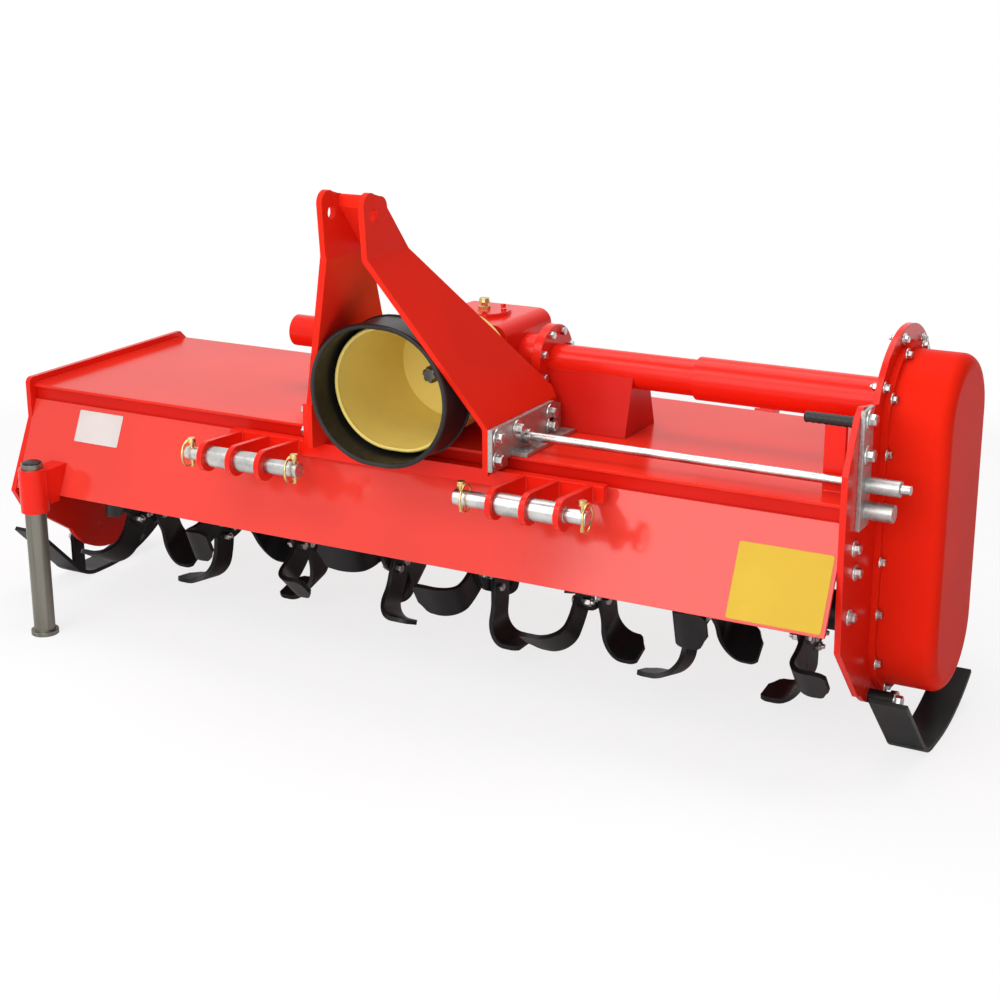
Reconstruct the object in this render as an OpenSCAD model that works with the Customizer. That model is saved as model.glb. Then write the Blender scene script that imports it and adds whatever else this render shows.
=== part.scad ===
// Side-shifting tractor rotary tiller, parked on its two skids and its front stand.
// Millimetres. X runs to the machine's right-hand end in a front view, Y to the rear, Z up.
// The driving frame has X = 0 on the power take-off axis and Y = 0 on the cross drive;
// the last lines move the whole machine so that its box stands centred on the origin.

/* [Hood] */
// Clear width between the two end plates
hood_width = 1925; // [1600:5:2300]
// Distance of the hood centre to the left of the power take-off axis
hood_offset = 60; // [0:5:150]
// Height of the deck's top above the ground
deck_top = 540; // [480:5:620]
// Deck edge ahead of the drive axis
deck_front = 285; // [240:5:340]
// Deck edge behind the drive axis
deck_rear = 264; // [220:5:320]
// Thickness of the deck and panels
sheet = 6; // [4:0.5:10]
// Thickness of the end plates
end_plate = 12; // [8:1:20]
// Height of the front beam's face
beam_height = 57; // [45:1:90]
// Depth of the front beam
beam_depth = 60; // [40:1:90]
// Wall of the front beam
beam_wall = 6; // [4:0.5:10]
// How far the front panel's lower edge stands ahead of the deck edge
panel_reach = 87; // [40:1:140]
// Height of the front panel's lower edge
panel_bottom = 315; // [250:5:380]
// How far the rear skirt runs back from the deck
skirt_reach = 66; // [40:1:100]
// How far the rear skirt falls below the deck
skirt_drop = 100; // [60:1:140]
// How far the end plates stand proud of the deck
plate_proud = 18; // [10:1:60]
// Height of the deck's front lip above the panel
panel_lip = 34; // [20:1:50]
// Radius of the end plates' lobes about the rotor
lobe_radius = 165; // [150:1:175]

/* [Rotor] */
// Height of the rotor axis
rotor_height = 250; // [220:1:320]
// Distance of the rotor axis ahead of the drive axis
rotor_ahead = 60; // [0:1:80]
// Radius swept by the tine tips
tip_radius = 212; // [180:1:235]
// Radius of the rotor tube
rotor_tube = 40; // [30:1:55]
// Radius of the journals at both ends
journal = 30; // [22:1:40]
// Radius of a tine flange
flange_radius = 92; // [75:1:110]
// Thickness of a tine flange
flange_thick = 10; // [6:1:14]
// Distance of the end flanges from the end plates
flange_margin = 125; // [115:1:180]
// Thickness of a tine
tine_thick = 10; // [5:0.5:12]
// Sideways reach of a tine
tine_reach = 92; // [60:1:105]
// Inner bend radius of a tine
tine_bend = 28; // [12:1:40]
// Turn from one flange to the next
tine_phase = 22.5; // [5:0.5:55]
// Half width of a tine's shank
tine_half = 33; // [22:0.5:40]
// Turn of the whole rotor as it stands
rotor_turn = -29.5; // [-60:0.5:60]

/* [Drive] */
// Height of the power take-off axis and of the cross drive above the deck
drive_rise = 126; // [110:1:160]
// Outer radius of the inner drive tube
tube_radius = 37; // [30:0.5:45]
// Wall of the drive tubes
tube_wall = 6.5; // [4:0.5:9]
// Clear gap from the saddle to the outer drive tube, a little more than the hitch shifts
tube_gap = 129.5; // [125:0.5:180]
// Length of the inner drive tube
inner_tube_length = 545; // [480:1:600]
// Length of the closed tube on the gearbox's left
guard_length = 355; // [250:1:450]
// Half width of the gearbox housing
gearbox_half = 108; // [90:1:125]
// Half depth of the gearbox housing
gearbox_deep = 100; // [85:1:120]
// Height of the gearbox's top above the drive axis
gearbox_rise = 86; // [75:1:110]
// Thickness of the gearbox's side covers
cover_thick = 20; // [12:1:30]
// Radius of the gearbox's side covers
cover_radius = 77; // [70:1:95]
// Height of the chain case's top above the drive axis
case_rise = 106; // [80:1:130]
// Depth of the chain case's bottom below the rotor axis
case_drop = 146; // [130:1:160]
// Half depth of the chain case
case_radius = 130; // [120:1:140]
// Thickness of the chain case
case_thick = 122; // [90:1:140]
// Rounding of the chain case's outer edge
case_round = 26; // [10:1:40]
// Width of the chain case's bolted rim
case_rim = 14; // [8:1:20]
// Radius of the power take-off stub
stub_radius = 17.5; // [15:0.5:22]
// Distance of the stub's free end ahead of the drive axis
stub_front = 232; // [200:1:280]

/* [Shield] */
// Outer radius of the bell-shaped shield
shield_radius = 140; // [132:1:150]
// Distance of the shield's mouth ahead of the drive axis
shield_front = 430; // [410:1:470]
// Length of the black bell
shield_length = 105; // [70:1:140]
// Wall of the shield pieces
shield_wall = 5; // [3:0.5:8]
// Radius of the yellow cup's mouth
cup_radius = 125; // [110:1:128]
// Radius of the yellow cup's floor
cup_floor = 117; // [90:1:118]
// Distance of the cup's mouth behind the bell's mouth
cup_set = 64; // [40:1:90]
// Half of the shield's extra width across the machine
shield_spread = 14; // [6:1:16]

/* [Hitch] */
// Outer half spacing of the mast plates at the top link
mast_half = 52; // [45:1:60]
// Thickness of the mast plates
mast_thick = 12; // [8:1:16]
// Outer half spacing of the mast plates at the deck
foot_half = 211; // [190:1:240]
// Height of the bend in the mast plates above the drive axis
kink_rise = 289; // [260:1:320]
// Height of the mast plates' upright feet above the deck
foot_rise = 72; // [60:1:90]
// Depth of the mast plates at the bend
mast_depth = 146; // [110:1:170]
// Distance of the top-link hole ahead of the drive axis
top_link_front = 505; // [470:1:530]
// Height of the top-link hole above the drive axis
top_link_rise = 367; // [340:1:400]
// Radius of the top-link hole
top_link_hole = 12.75; // [10:0.25:16]
// Distance of the lower pins ahead of the drive axis
lower_pin_front = 439; // [410:1:480]
// Depth of the lower pins below the deck
lower_pin_drop = 47; // [30:1:60]
// Radius of the lower pins
lower_pin = 14; // [11:0.5:18.5]
// Free length of the lower pins outside the outer plates
lower_pin_free = 46; // [40:1:70]
// Length of the lower pins inside the inner plates
lower_pin_inner = 80; // [50:1:100]
// Radius of the lower pins where the plates hold them
lower_pin_shank = 16; // [13:0.5:20]
// Centre of the inner bracket plates from the power take-off axis
bracket_inner = 268; // [250:1:300]
// Pitch from one bracket plate to the next
bracket_pitch = 72; // [60:1:90]
// Thickness of the bracket plates
bracket_thick = 12; // [8:1:16]
// Half length of the crossbar
crossbar_half = 440; // [430:1:500]
// Height of the crossbar
crossbar_height = 32; // [26:1:36]
// Thickness of the crossbar
crossbar_thick = 22; // [16:1:40]
// Depth of the crossbar's top below the deck
crossbar_drop = 22; // [18:1:28]
// Gap between the crossbar and the front beam
crossbar_gap = 18; // [14:1:24]
// Thickness of the clamp brackets
clamp_thick = 10; // [6:1:14]
// Height of the clamp brackets above the deck
clamp_height = 70; // [50:1:90]
// Width of the clamp brackets' soles
clamp_sole = 44; // [30:1:60]

/* [Side shift] */
// Radius of the shift rod
rod_radius = 9; // [7:0.5:12]
// Distance of the shift rod ahead of the drive axis
rod_front = 232; // [215:1:240]
// Height of the shift rod above the deck
rod_rise = 29; // [24:1:45]
// Length of the guide sleeve outside the right end plate
sleeve_length = 70; // [50:1:100]
// Free end of the rod beyond its sleeve
rod_free = 18; // [8:1:40]
// Height of the lock handle's grip above the deck
grip_rise = 134; // [110:1:180]
// Length of the lock handle's grip
grip_length = 104; // [80:1:130]
// Distance of the lock handle ahead of the drive axis
grip_front = 205; // [180:1:208]

/* [Stand and skids] */
// Distance of the stand from the left end plate
stand_inset = 108; // [90:1:200]
// Distance of the stand ahead of the drive axis
stand_front = 430; // [420:1:460]
// Radius of the stand's leg
leg_radius = 24; // [20:1:30]
// Wall of the stand's socket
socket_wall = 7; // [4:0.5:10]
// Height of the socket's lower end
socket_bottom = 292; // [270:1:320]
// Length of the socket
socket_length = 100; // [70:1:120]
// Radius of the stand's foot
foot_radius = 31; // [30:1:60]
// Width of the skids
skid_width = 72; // [60:1:100]
// Distance of the skids from the end plates' outer faces
skid_off = 42; // [36:1:60]
// Thickness of the skids
skid_thick = 10; // [6:1:14]
// Bend radius of the skids' fronts
skid_bend = 100; // [80:5:140]
// Slope of the skids' front ramps
skid_ramp = 45; // [40:1:55]
// Bend radius of the skids' rear ends
skid_rear_bend = 400; // [300:5:500]
// Height of the skids' front tips
skid_tip = 160; // [140:1:200]
// Front end of the skids' flat soles ahead of the drive axis
sole_front = 60; // [45:1:90]
// Rear end of the skids' flat soles ahead of the drive axis
sole_rear = 20; // [0:1:60]

/* [Rear board] */
// Length of the rear board
board_length = 300; // [220:5:330]
// Lean of the rear board from the vertical
board_lean = 20; // [10:1:30]
// Thickness of the rear board
board_thick = 6; // [4:0.5:10]
// Side clearance of the rear board
board_gap = 10; // [6:1:20]
// Radius of the hinge pin
hinge_pin = 8; // [6:0.5:12]
// Radius of the holding straps about the hinge
strap_radius = 86; // [80:1:95]
// Width of the holding straps
strap_width = 22; // [16:1:26]
// Thickness of the holding straps
strap_thick = 10; // [6:1:14]
// Distance of the straps from the hood's centre
strap_place = 560; // [400:5:800]
// Radius of the cross pin at a strap's end
strap_pin = 7; // [5:0.5:9]
// Angle of the lugs' stop face about the hinge
lug_stop = 68; // [60:1:72]
// Length of a hinge knuckle
knuckle_length = 60; // [40:1:90]
// Distance of the outer hinge knuckles from the hood's ends
knuckle_inset = 152.5; // [90:0.5:260]

/* [Clearances] */
// Gap of sliding flat faces
slide_gap = 0.5; // [0.2:0.1:0.9]
// Radial gap of sliding and hinged round pieces
slide_fit = 0.3; // [0.2:0.05:0.5]
// Radial gap of running bearings
run_fit = 0.05; // [0.02:0.01:0.1]

/* [Hidden] */
$fn = 64;
red = [0.85, 0.08, 0.06];
dark_red = [0.55, 0.05, 0.05];
black = [0.08, 0.08, 0.08];
steel = [0.7, 0.7, 0.72];
yellow = [0.85, 0.72, 0.2];
eps = 0.01;
far = 3000;
// Heights
drive_height = deck_top + drive_rise;
rotor_y = -rotor_ahead;
case_top = drive_height + case_rise;
case_bottom = rotor_height - case_drop;
top_link_height = drive_height + top_link_rise;
kink_height = drive_height + kink_rise;
mast_foot = deck_top + foot_rise;
lower_pin_height = deck_top - lower_pin_drop;
rod_height = deck_top + rod_rise;
grip_height = deck_top + grip_rise;
// Hood places
x_left = -hood_offset - hood_width / 2;
x_right = -hood_offset + hood_width / 2;
x_left_out = x_left - end_plate;
x_right_out = x_right + end_plate;
deck_under = deck_top - sheet;
beam_bottom = deck_under - beam_height + sheet;
panel_top = deck_top - panel_lip;
skirt_end_y = deck_rear + skirt_reach;
skirt_end_z = deck_top - skirt_drop;
panel_front = deck_front + panel_reach;
// Saddle
saddle_end = 365;
saddle_foot = 72;
// Rear hinge
hinge_y = skirt_end_y + hinge_pin;
hinge_z = skirt_end_z - hinge_pin - 4;
knuckle = hinge_pin + 7;
knuckle_place = hood_width / 2 - knuckle_inset;
knuckle_xs = [-knuckle_place, -knuckle_place / 3, knuckle_place / 3, knuckle_place];
strap_end = lug_stop - board_lean + asin(strap_pin / strap_radius) + 0.4;
lug_gap = 5;
lug_thick = 8;
// Cross drive
outer_tube_bore = tube_radius + slide_fit;
outer_tube_radius = outer_tube_bore + tube_wall;
cover_hub = tube_radius + 22;
x_cover_right = gearbox_half + cover_thick + 44;
x_cover_left = -gearbox_half - cover_thick;
x_outer_tube = saddle_end + tube_gap;
outer_tube_length = x_right - x_outer_tube;
// Shield
shield_back = shield_front - shield_length;
cup_front = shield_front - cup_set;
input_hub = 22;
cup_back = gearbox_deep + input_hub;
stub_journal = stub_radius + 4;
// Mast plates, seen from the side
mast_nose = 33;
mast_tail = 48;
mast_cap = 43;
mast_corner = 24;
kink_front = top_link_front + 25;
kink_rear = kink_front - mast_depth;
tie_thick = 12;
tie_inset = 10;
// Hitch
crossbar_back = deck_front + crossbar_gap;
crossbar_face = crossbar_back + crossbar_thick;
crossbar_top = deck_top - crossbar_drop;
crossbar_bottom = crossbar_top - crossbar_height;
bracket_nose = lower_pin_shank + 16;
bush = lower_pin_shank + 6;
pin_shoulder = bracket_inner + 2 * bracket_pitch + bracket_thick / 2;
pin_outer = pin_shoulder + lower_pin_free;
pin_inner = bracket_inner - bracket_thick / 2 - lower_pin_inner;
// Clamp brackets
clamp_inner = foot_half;
clamp_back = 76;
clamp_nose = deck_front + 80;
clamp_dip = 14;
sole_z = deck_top + slide_gap;
// Lock handle
grip_radius = 11;
post_width = 40;
post_x = x_right - 52;
// Rod guide
guide_thick = 8;
guide_fore = 36;
guide_aft = 16;
guide_top = rod_height + 144;
guide_bottom = rod_height - 80;
sleeve_wall = 6;
sleeve_pitch = 48;
// Stand
stand_x = x_left + stand_inset;
socket_top = socket_bottom + socket_length;
leg_top = socket_top + 12;
foot_thick = 10;
// Skids
skid_rear_sweep = 33;
skid_ramp_y = sole_front + skid_bend * sin(skid_ramp);
skid_ramp_z = skid_bend * (1 - cos(skid_ramp));
skid_tip_y = skid_ramp_y + (skid_tip - skid_ramp_z) / tan(skid_ramp);
ramp_length = (skid_tip - skid_ramp_z) / sin(skid_ramp);
ramp_step = 0.5;
spacer = 14;
spacer_bed = 18;
skid_bolts = [
    [rotor_y - 60, case_bottom + 8],
    [rotor_y + 210, case_bottom + 61]
];
web_thick = 10;
// Rotor
flange_count = 8;
flange_first = x_left + flange_margin;
flange_step = (hood_width - 2 * flange_margin) / (flange_count - 1);
bearing_out = 46;
blade_r = tip_radius - 14;
tine_sweep = sqrt(tip_radius * tip_radius - blade_r * blade_r);
tine_sink = 1;
// Outer box of the machine
box_left = x_left_out - skid_off - skid_width;
box_right = x_right_out + case_thick;
box_front = -top_link_front - mast_nose;
board_lip = 8;
board_tip_y = hinge_y + (board_length - board_lip) * sin(board_lean) + board_lip;
box_rear = board_tip_y;

// Extrude a drawing made in (Y, Z) from x0 by width along X.
module along_x(x0, width) {
    translate([x0, 0, 0]) rotate([90, 0, 90]) linear_extrude(width) children();
}

// Extrude a drawing made in (X, Z) from y0 by depth along +Y.
module along_y(y0, depth) {
    translate([0, y0 + depth, 0]) rotate([90, 0, 0]) linear_extrude(depth) children();
}

// Round bar along X.
module bar_x(x0, length, y, z, r) {
    translate([x0, y, z]) rotate([0, 90, 0]) cylinder(h = length, r = r);
}

// Round bar along +Y.
module bar_y(y0, length, x, z, r) {
    translate([x, y0, z]) rotate([-90, 0, 0]) cylinder(h = length, r = r);
}

// Rectangle given by two corners, for drawings.
module span(a0, b0, a1, b1) {
    translate([a0, b0]) square([a1 - a0, b1 - b0]);
}

// Upright slot shape from b0 to b1 with round ends.
module stadium(r, b0, b1) {
    translate([0, b0 + r]) circle(r);
    translate([0, b1 - r]) circle(r);
    span(-r, b0 + r, r, b1 - r);
}

// Flat deck over the rotor.
module deck_plate() {
    color(red) translate([x_left, -deck_front, deck_under]) cube([hood_width, deck_front + deck_rear, sheet]);
}

// Sloping panel below the deck's front lip.
module front_panel() {
    color(red) along_x(x_left, hood_width) polygon([
        [-deck_front, panel_top], [-deck_front + sheet, panel_top],
        [-panel_front + sheet, panel_bottom], [-panel_front, panel_bottom]
    ]);
}

// Square tube just behind the deck's front edge, which carries the sliding hitch.
module front_beam() {
    front = -deck_front + sheet;
    back = -deck_front + beam_depth;
    color(dark_red) along_x(x_left, hood_width) difference() {
        span(front, beam_bottom, back, deck_under);
        span(front + beam_wall, beam_bottom + beam_wall, back - beam_wall, deck_under - beam_wall);
    }
}

// Point at radius r and angle a about the rear hinge.
function about_hinge(r, a) = [hinge_y + r * cos(a), hinge_z + r * sin(a)];

// Sloping skirt behind the deck with the fixed hinge knuckles and the two pairs of strap lugs.
module rear_skirt() {
    lean = atan2(deck_top - hinge_z, deck_rear - hinge_y);
    color(red) {
        along_x(x_left, hood_width) polygon([
            [deck_rear, deck_top], [skirt_end_y, skirt_end_z], [skirt_end_y - sheet, skirt_end_z],
            [deck_rear, deck_under - 4]
        ]);
        for (x = knuckle_xs) along_x(x - hood_offset - knuckle_length / 2, knuckle_length) difference() {
            union() {
                translate([hinge_y, hinge_z]) circle(knuckle);
                polygon([[skirt_end_y - sheet, skirt_end_z], [skirt_end_y, skirt_end_z], [hinge_y, hinge_z], [hinge_y - knuckle, hinge_z]]);
            }
            translate([hinge_y, hinge_z]) circle(hinge_pin + slide_fit);
        }
        for (s = [-1, 1], side = [-1, 1])
            along_x(s * strap_place - hood_offset + side * (strap_thick / 2 + lug_gap + lug_thick / 2) - lug_thick / 2, lug_thick)
                polygon([
                    about_hinge(24, lean), about_hinge(62, lean), about_hinge(66, lug_stop), about_hinge(strap_radius + 18, lug_stop),
                    about_hinge(strap_radius + 18, lug_stop - 18), about_hinge(34, lug_stop - 18)
                ]);
    }
}

// Left end plate with its round lobe about the rotor.
module end_plate_left() {
    top = deck_top + plate_proud;
    front = deck_front + plate_proud;
    tail = skirt_end_y - 22;
    color(red) along_x(x_left_out, end_plate) difference() {
        union() {
            translate([rotor_y, rotor_height]) circle(lobe_radius);
            translate([-front + 14, top - 14]) circle(14);
            polygon([
                [-front + 14, top], [-front, top - 14], [-front, panel_top - 40], [-panel_front - 6, panel_bottom - 6],
                [-panel_front + 20, panel_bottom - 50], [rotor_y - 140, rotor_height - 88], [rotor_y + 120, rotor_height - 112],
                [rotor_y + 250, rotor_height - 106], [tail, panel_bottom], [tail, skirt_end_z], [deck_rear + 8, top - 20],
                [deck_rear - 14, top]
            ]);
        }
        translate([rotor_y, rotor_height]) circle(journal + 6);
    }
}

// Right end plate with the arched top behind the chain case and the shoulder that carries the rod guide.
module end_plate_right() {
    arch_radius = case_radius + 46;
    arch_z = case_top + 46 - arch_radius;
    front = deck_front + 2 * plate_proud;
    shoulder = rod_front + guide_fore + 4;
    tail = skirt_end_y - 22;
    color(red) along_x(x_right, end_plate) difference() {
        union() {
            translate([0, arch_z]) circle(arch_radius);
            translate([rotor_y, rotor_height]) circle(lobe_radius);
            polygon([
                [-arch_radius + 12, arch_z + 60], [-shoulder + 20, guide_top + 4], [-shoulder, guide_top - 12],
                [-front, rod_height + 36], [-front, panel_top - 60], [-front + 8, panel_bottom - 50],
                [rotor_y - 130, rotor_height - 116], [rotor_y + 130, rotor_height - 116], [rotor_y + 250, rotor_height - 106],
                [tail, panel_bottom], [tail, skirt_end_z], [deck_rear, deck_top + plate_proud], [arch_radius, arch_z]
            ]);
        }
        translate([rotor_y, rotor_height]) circle(journal + 6);
        translate([-rod_front, rod_height]) circle(rod_radius + slide_fit);
    }
}

// Chain case with a bolted rim and a rounded outer edge.
module chain_case() {
    x_shell = x_right_out;
    color(red) difference() {
        union() {
            along_x(x_shell, 12) stadium(case_radius + case_rim, case_bottom - case_rim, case_top + case_rim);
            along_x(x_shell, case_thick - case_round) stadium(case_radius, case_bottom, case_top);
            translate([x_shell + case_thick - case_round, 0, 0]) case_edge();
        }
        bar_x(x_shell - 1, 31, rotor_y, rotor_height, journal + run_fit);
    }
}

// Rounded outer part of the chain case: two turned ends and a drawn middle.
module case_edge() {
    z0 = case_bottom + case_radius;
    z1 = case_top - case_radius;
    for (z = [z0, z1]) translate([0, 0, z]) rotate([0, 90, 0]) rotate_extrude() edge_profile();
    translate([0, 0, z0]) linear_extrude(z1 - z0) {
        rotate(-90) edge_profile();
        mirror([0, 1]) rotate(-90) edge_profile();
    }
}

// Quarter-round profile from the case's axis to its edge.
module edge_profile() {
    square([case_radius - case_round, case_round]);
    intersection() {
        translate([case_radius - case_round, 0]) circle(case_round);
        translate([case_radius - case_round - eps, 0]) square(case_round + 1);
    }
}

// Outer drive tube, fixed to the right end plate.
module drive_tube_outer() {
    color(red) difference() {
        bar_x(x_outer_tube, outer_tube_length, 0, drive_height, outer_tube_radius);
        bar_x(x_outer_tube - 1, outer_tube_length + 2, 0, drive_height, outer_tube_bore);
    }
}

// Galvanised guide plate with the rod's sleeve and the lock sleeve below it.
module rod_guide() {
    color(steel) difference() {
        union() {
            along_x(x_right_out, guide_thick) span(-rod_front - guide_fore, guide_bottom, -rod_front + guide_aft, guide_top);
            bar_x(x_right_out, sleeve_length, -rod_front, rod_height, rod_radius + sleeve_wall);
            bar_x(x_right_out, sleeve_length - 10, -rod_front, rod_height - sleeve_pitch, rod_radius + sleeve_wall + 2);
        }
        bar_x(x_right_out - 1, sleeve_length + 2, -rod_front, rod_height, rod_radius + slide_fit);
    }
}

// Upright of the lock handle.
module lever_post() {
    color(red) difference() {
        along_y(-grip_front - 6, 12) span(post_x - post_width / 2, deck_top, post_x + post_width / 2, grip_height);
        bar_x(post_x - post_width, 2 * post_width, -grip_front, grip_height, grip_radius);
    }
}

// Black grip of the lock handle.
module lever_grip() {
    color(black) bar_x(post_x - grip_length * 0.6, grip_length, -grip_front, grip_height, grip_radius);
}

// Socket of the stand with its bracket to the front panel.
module stand_socket() {
    socket_radius = leg_radius + slide_fit + socket_wall;
    color(red) difference() {
        union() {
            translate([stand_x, -stand_front, socket_bottom]) cylinder(h = socket_length, r = socket_radius);
            along_x(stand_x - 22, 44) polygon([
                [-stand_front, socket_bottom + 12], [-stand_front, socket_top - 8],
                [-panel_y(socket_top - 8), socket_top - 8], [-panel_y(panel_bottom), panel_bottom],
                [-panel_front, socket_bottom + 12]
            ]);
        }
        translate([stand_x, -stand_front, socket_bottom - 1]) cylinder(h = socket_length + 2, r = leg_radius + slide_fit);
    }
}

// Distance of the front panel's outer face ahead of the drive axis at height z.
function panel_y(z) = deck_front + panel_reach * (panel_top - z) / (panel_top - panel_bottom);

// Left rotor bearing, bolted outside the left end plate.
module bearing_left() {
    color(red) difference() {
        union() {
            bar_x(x_left_out - 12, 12, rotor_y, rotor_height, 84);
            bar_x(x_left_out - bearing_out, bearing_out, rotor_y, rotor_height, 58);
        }
        bar_x(x_left_out - bearing_out + 8, bearing_out, rotor_y, rotor_height, journal + run_fit);
    }
}

// Skid outline: a flat sole, a curved front with a straight ramp, and a rear end that rises gently.
module skid_outline() {
    span(-sole_front, 0, -sole_rear, skid_thick);
    translate([-sole_front, skid_bend]) intersection() {
        difference() {
            circle(skid_bend);
            circle(skid_bend - skid_thick);
        }
        polygon([[0, 0], [-far * tan(skid_ramp), -far], [0, -far]]);
    }
    polygon([
        on_ramp(0, ramp_step), on_ramp(ramp_length + 2, ramp_step),
        on_ramp(ramp_length + 2, skid_thick - ramp_step), on_ramp(0, skid_thick - ramp_step)
    ]);
    translate([-sole_rear, skid_rear_bend]) intersection() {
        difference() {
            circle(skid_rear_bend);
            circle(skid_rear_bend - skid_thick);
        }
        polygon([[0, 0], [0, -far], [far * tan(skid_rear_sweep), -far]]);
    }
}

// Upright plates of a skid, one in the middle and one at the rear, each with a bed for its spacer.
module skid_web() {
    for (b = skid_bolts) translate(b) circle(spacer_bed);
    difference() {
        span(skid_bolts[0][0] - spacer_bed, skid_thick / 2, skid_bolts[0][0] + spacer_bed, skid_bolts[0][1]);
        translate([-sole_front, skid_bend]) difference() {
            translate([-far, -far]) square(far);
            circle(skid_bend - skid_thick / 2);
        }
    }
    difference() {
        span(skid_bolts[1][0] - spacer_bed, skid_thick, skid_bolts[1][0] + spacer_bed, skid_bolts[1][1]);
        translate([-sole_rear, skid_rear_bend]) difference() {
            translate([0, -far]) square(far);
            circle(skid_rear_bend - skid_thick / 2);
        }
    }
}

// Point of the ramp at a distance d down from its tip and h above its underside.
function on_ramp(d, h) = [
    -skid_tip_y + d * cos(skid_ramp) + h * sin(skid_ramp),
    skid_tip - d * sin(skid_ramp) + h * cos(skid_ramp)
];

// Left skid, held off the end plate by two spacers.
module skid_left() {
    color(black) {
        along_x(x_left_out - skid_off - skid_width, skid_width) skid_outline();
        along_x(x_left_out - skid_off - web_thick, web_thick) skid_web();
        for (b = skid_bolts) bar_x(x_left_out - skid_off - 1, skid_off + 1, b[0], b[1], spacer);
    }
}

// Right skid, held off the end plate by two spacers.
module skid_right() {
    color(black) {
        along_x(x_right_out + skid_off, skid_width) skid_outline();
        along_x(x_right_out + skid_off, web_thick) skid_web();
        for (b = skid_bolts) bar_x(x_right_out, skid_off + 1, b[0], b[1], spacer);
    }
}

// Bar of the sliding hitch along the front beam.
module hitch_crossbar() {
    color(red) translate([-crossbar_half, -crossbar_face, crossbar_bottom]) cube([2 * crossbar_half, crossbar_thick, crossbar_height]);
}

// Side outline of a lower hitch plate.
module bracket_outline() {
    difference() {
        union() {
            translate([-lower_pin_front, lower_pin_height]) circle(bracket_nose);
            polygon([
                [-crossbar_face, crossbar_top], [-lower_pin_front, lower_pin_height + bracket_nose],
                [-lower_pin_front, lower_pin_height - bracket_nose], [-crossbar_face, crossbar_bottom]
            ]);
        }
        translate([-lower_pin_front, lower_pin_height]) circle(lower_pin_shank);
    }
}

// Three plates of one lower hitch point.
module hitch_bracket() {
    for (i = [0:2]) along_x(bracket_inner + i * bracket_pitch - bracket_thick / 2, bracket_thick) bracket_outline();
}

module hitch_bracket_left() {
    color(red) mirror([1, 0, 0]) hitch_bracket();
}

module hitch_bracket_right() {
    color(red) hitch_bracket();
}

// Lower hitch pin: a thick shank with two bushes in the plates, and a free outer end for the lower link.
module hitch_pin() {
    gap = bracket_pitch - bracket_thick;
    inner = bracket_inner + bracket_thick / 2;
    bar_x(pin_inner, pin_shoulder - pin_inner, -lower_pin_front, lower_pin_height, lower_pin_shank);
    bar_x(pin_shoulder - 1, lower_pin_free + 1, -lower_pin_front, lower_pin_height, lower_pin);
    for (i = [0:1]) bar_x(inner + i * bracket_pitch, gap, -lower_pin_front, lower_pin_height, bush);
}

module hitch_pin_left() {
    color(steel) mirror([1, 0, 0]) hitch_pin();
}

module hitch_pin_right() {
    color(steel) hitch_pin();
}

// Side outline of the mast plates, with rounded top corners and a foot that stands on the crossbar.
module mast_outline() {
    cap_z = top_link_height + mast_cap;
    difference() {
        union() {
            translate([-top_link_front - mast_nose + mast_corner, cap_z - mast_corner]) circle(mast_corner);
            translate([-top_link_front + mast_tail - mast_corner, cap_z - 10 - mast_corner]) circle(mast_corner);
            polygon([
                [-top_link_front - mast_nose, cap_z - mast_corner], [-top_link_front - mast_nose + mast_corner, cap_z],
                [-top_link_front + mast_tail - mast_corner, cap_z - 10], [-top_link_front + mast_tail, cap_z - 10 - mast_corner],
                [-kink_rear, kink_height], [-clamp_back, mast_foot + 22], [-clamp_back, sole_z], [-crossbar_back, sole_z],
                [-crossbar_back, crossbar_top], [-clamp_nose, crossbar_top], [-clamp_nose, mast_foot], [-kink_front, kink_height]
            ]);
        }
        translate([-top_link_front, top_link_height]) circle(top_link_hole);
    }
}

// Right-hand mast plate: a strip bent outwards below the top link.
module mast_plate() {
    inner = mast_half - mast_thick;
    intersection() {
        along_x(0, far) mast_outline();
        along_y(-far / 2, far) polygon([
            [inner, far], [mast_half, far], [mast_half, kink_height], [foot_half, mast_foot], [foot_half, 0],
            [foot_half - mast_thick, 0], [foot_half - mast_thick, mast_foot - 4], [inner, kink_height - 8]
        ]);
    }
}

module mast_left() {
    color(red) mirror([1, 0, 0]) mast_plate();
}

module mast_right() {
    color(red) mast_plate();
}

// Spacer plate between the mast plates behind the top link.
module mast_tie() {
    inner = mast_half - mast_thick;
    z0 = kink_height + 6;
    z1 = top_link_height + mast_cap - 10 - mast_corner;
    color(red) along_x(-inner, 2 * inner) polygon([
        [mast_rear(z0) - tie_inset - tie_thick, z0], [mast_rear(z0) - tie_inset, z0],
        [mast_rear(z1) - tie_inset, z1], [mast_rear(z1) - tie_inset - tie_thick, z1]
    ]);
}

// Place of the mast plates' rear edge above the bend, at height z.
function mast_rear(z) = let (z1 = top_link_height + mast_cap - 10 - mast_corner)
    -kink_rear + (z - kink_height) * (mast_tail - top_link_front + kink_rear) / (z1 - kink_height);

// Galvanised clamp bracket: an angle bolted to the mast foot, which slides on the deck.
module clamp_bracket() {
    along_x(clamp_inner, clamp_thick) polygon([
        [-clamp_nose, deck_top - clamp_dip], [-crossbar_back, deck_top - clamp_dip], [-crossbar_back, sole_z], [-clamp_back, sole_z],
        [-clamp_back, sole_z + clamp_height * 0.85], [-clamp_back - 30, sole_z + clamp_height], [-clamp_nose, sole_z + clamp_height]
    ]);
    translate([clamp_inner, -deck_front, sole_z]) cube([clamp_sole, deck_front - clamp_back, 8]);
}

module clamp_left() {
    color(steel) mirror([1, 0, 0]) clamp_bracket();
}

module clamp_right() {
    color(steel) clamp_bracket();
}

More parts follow.
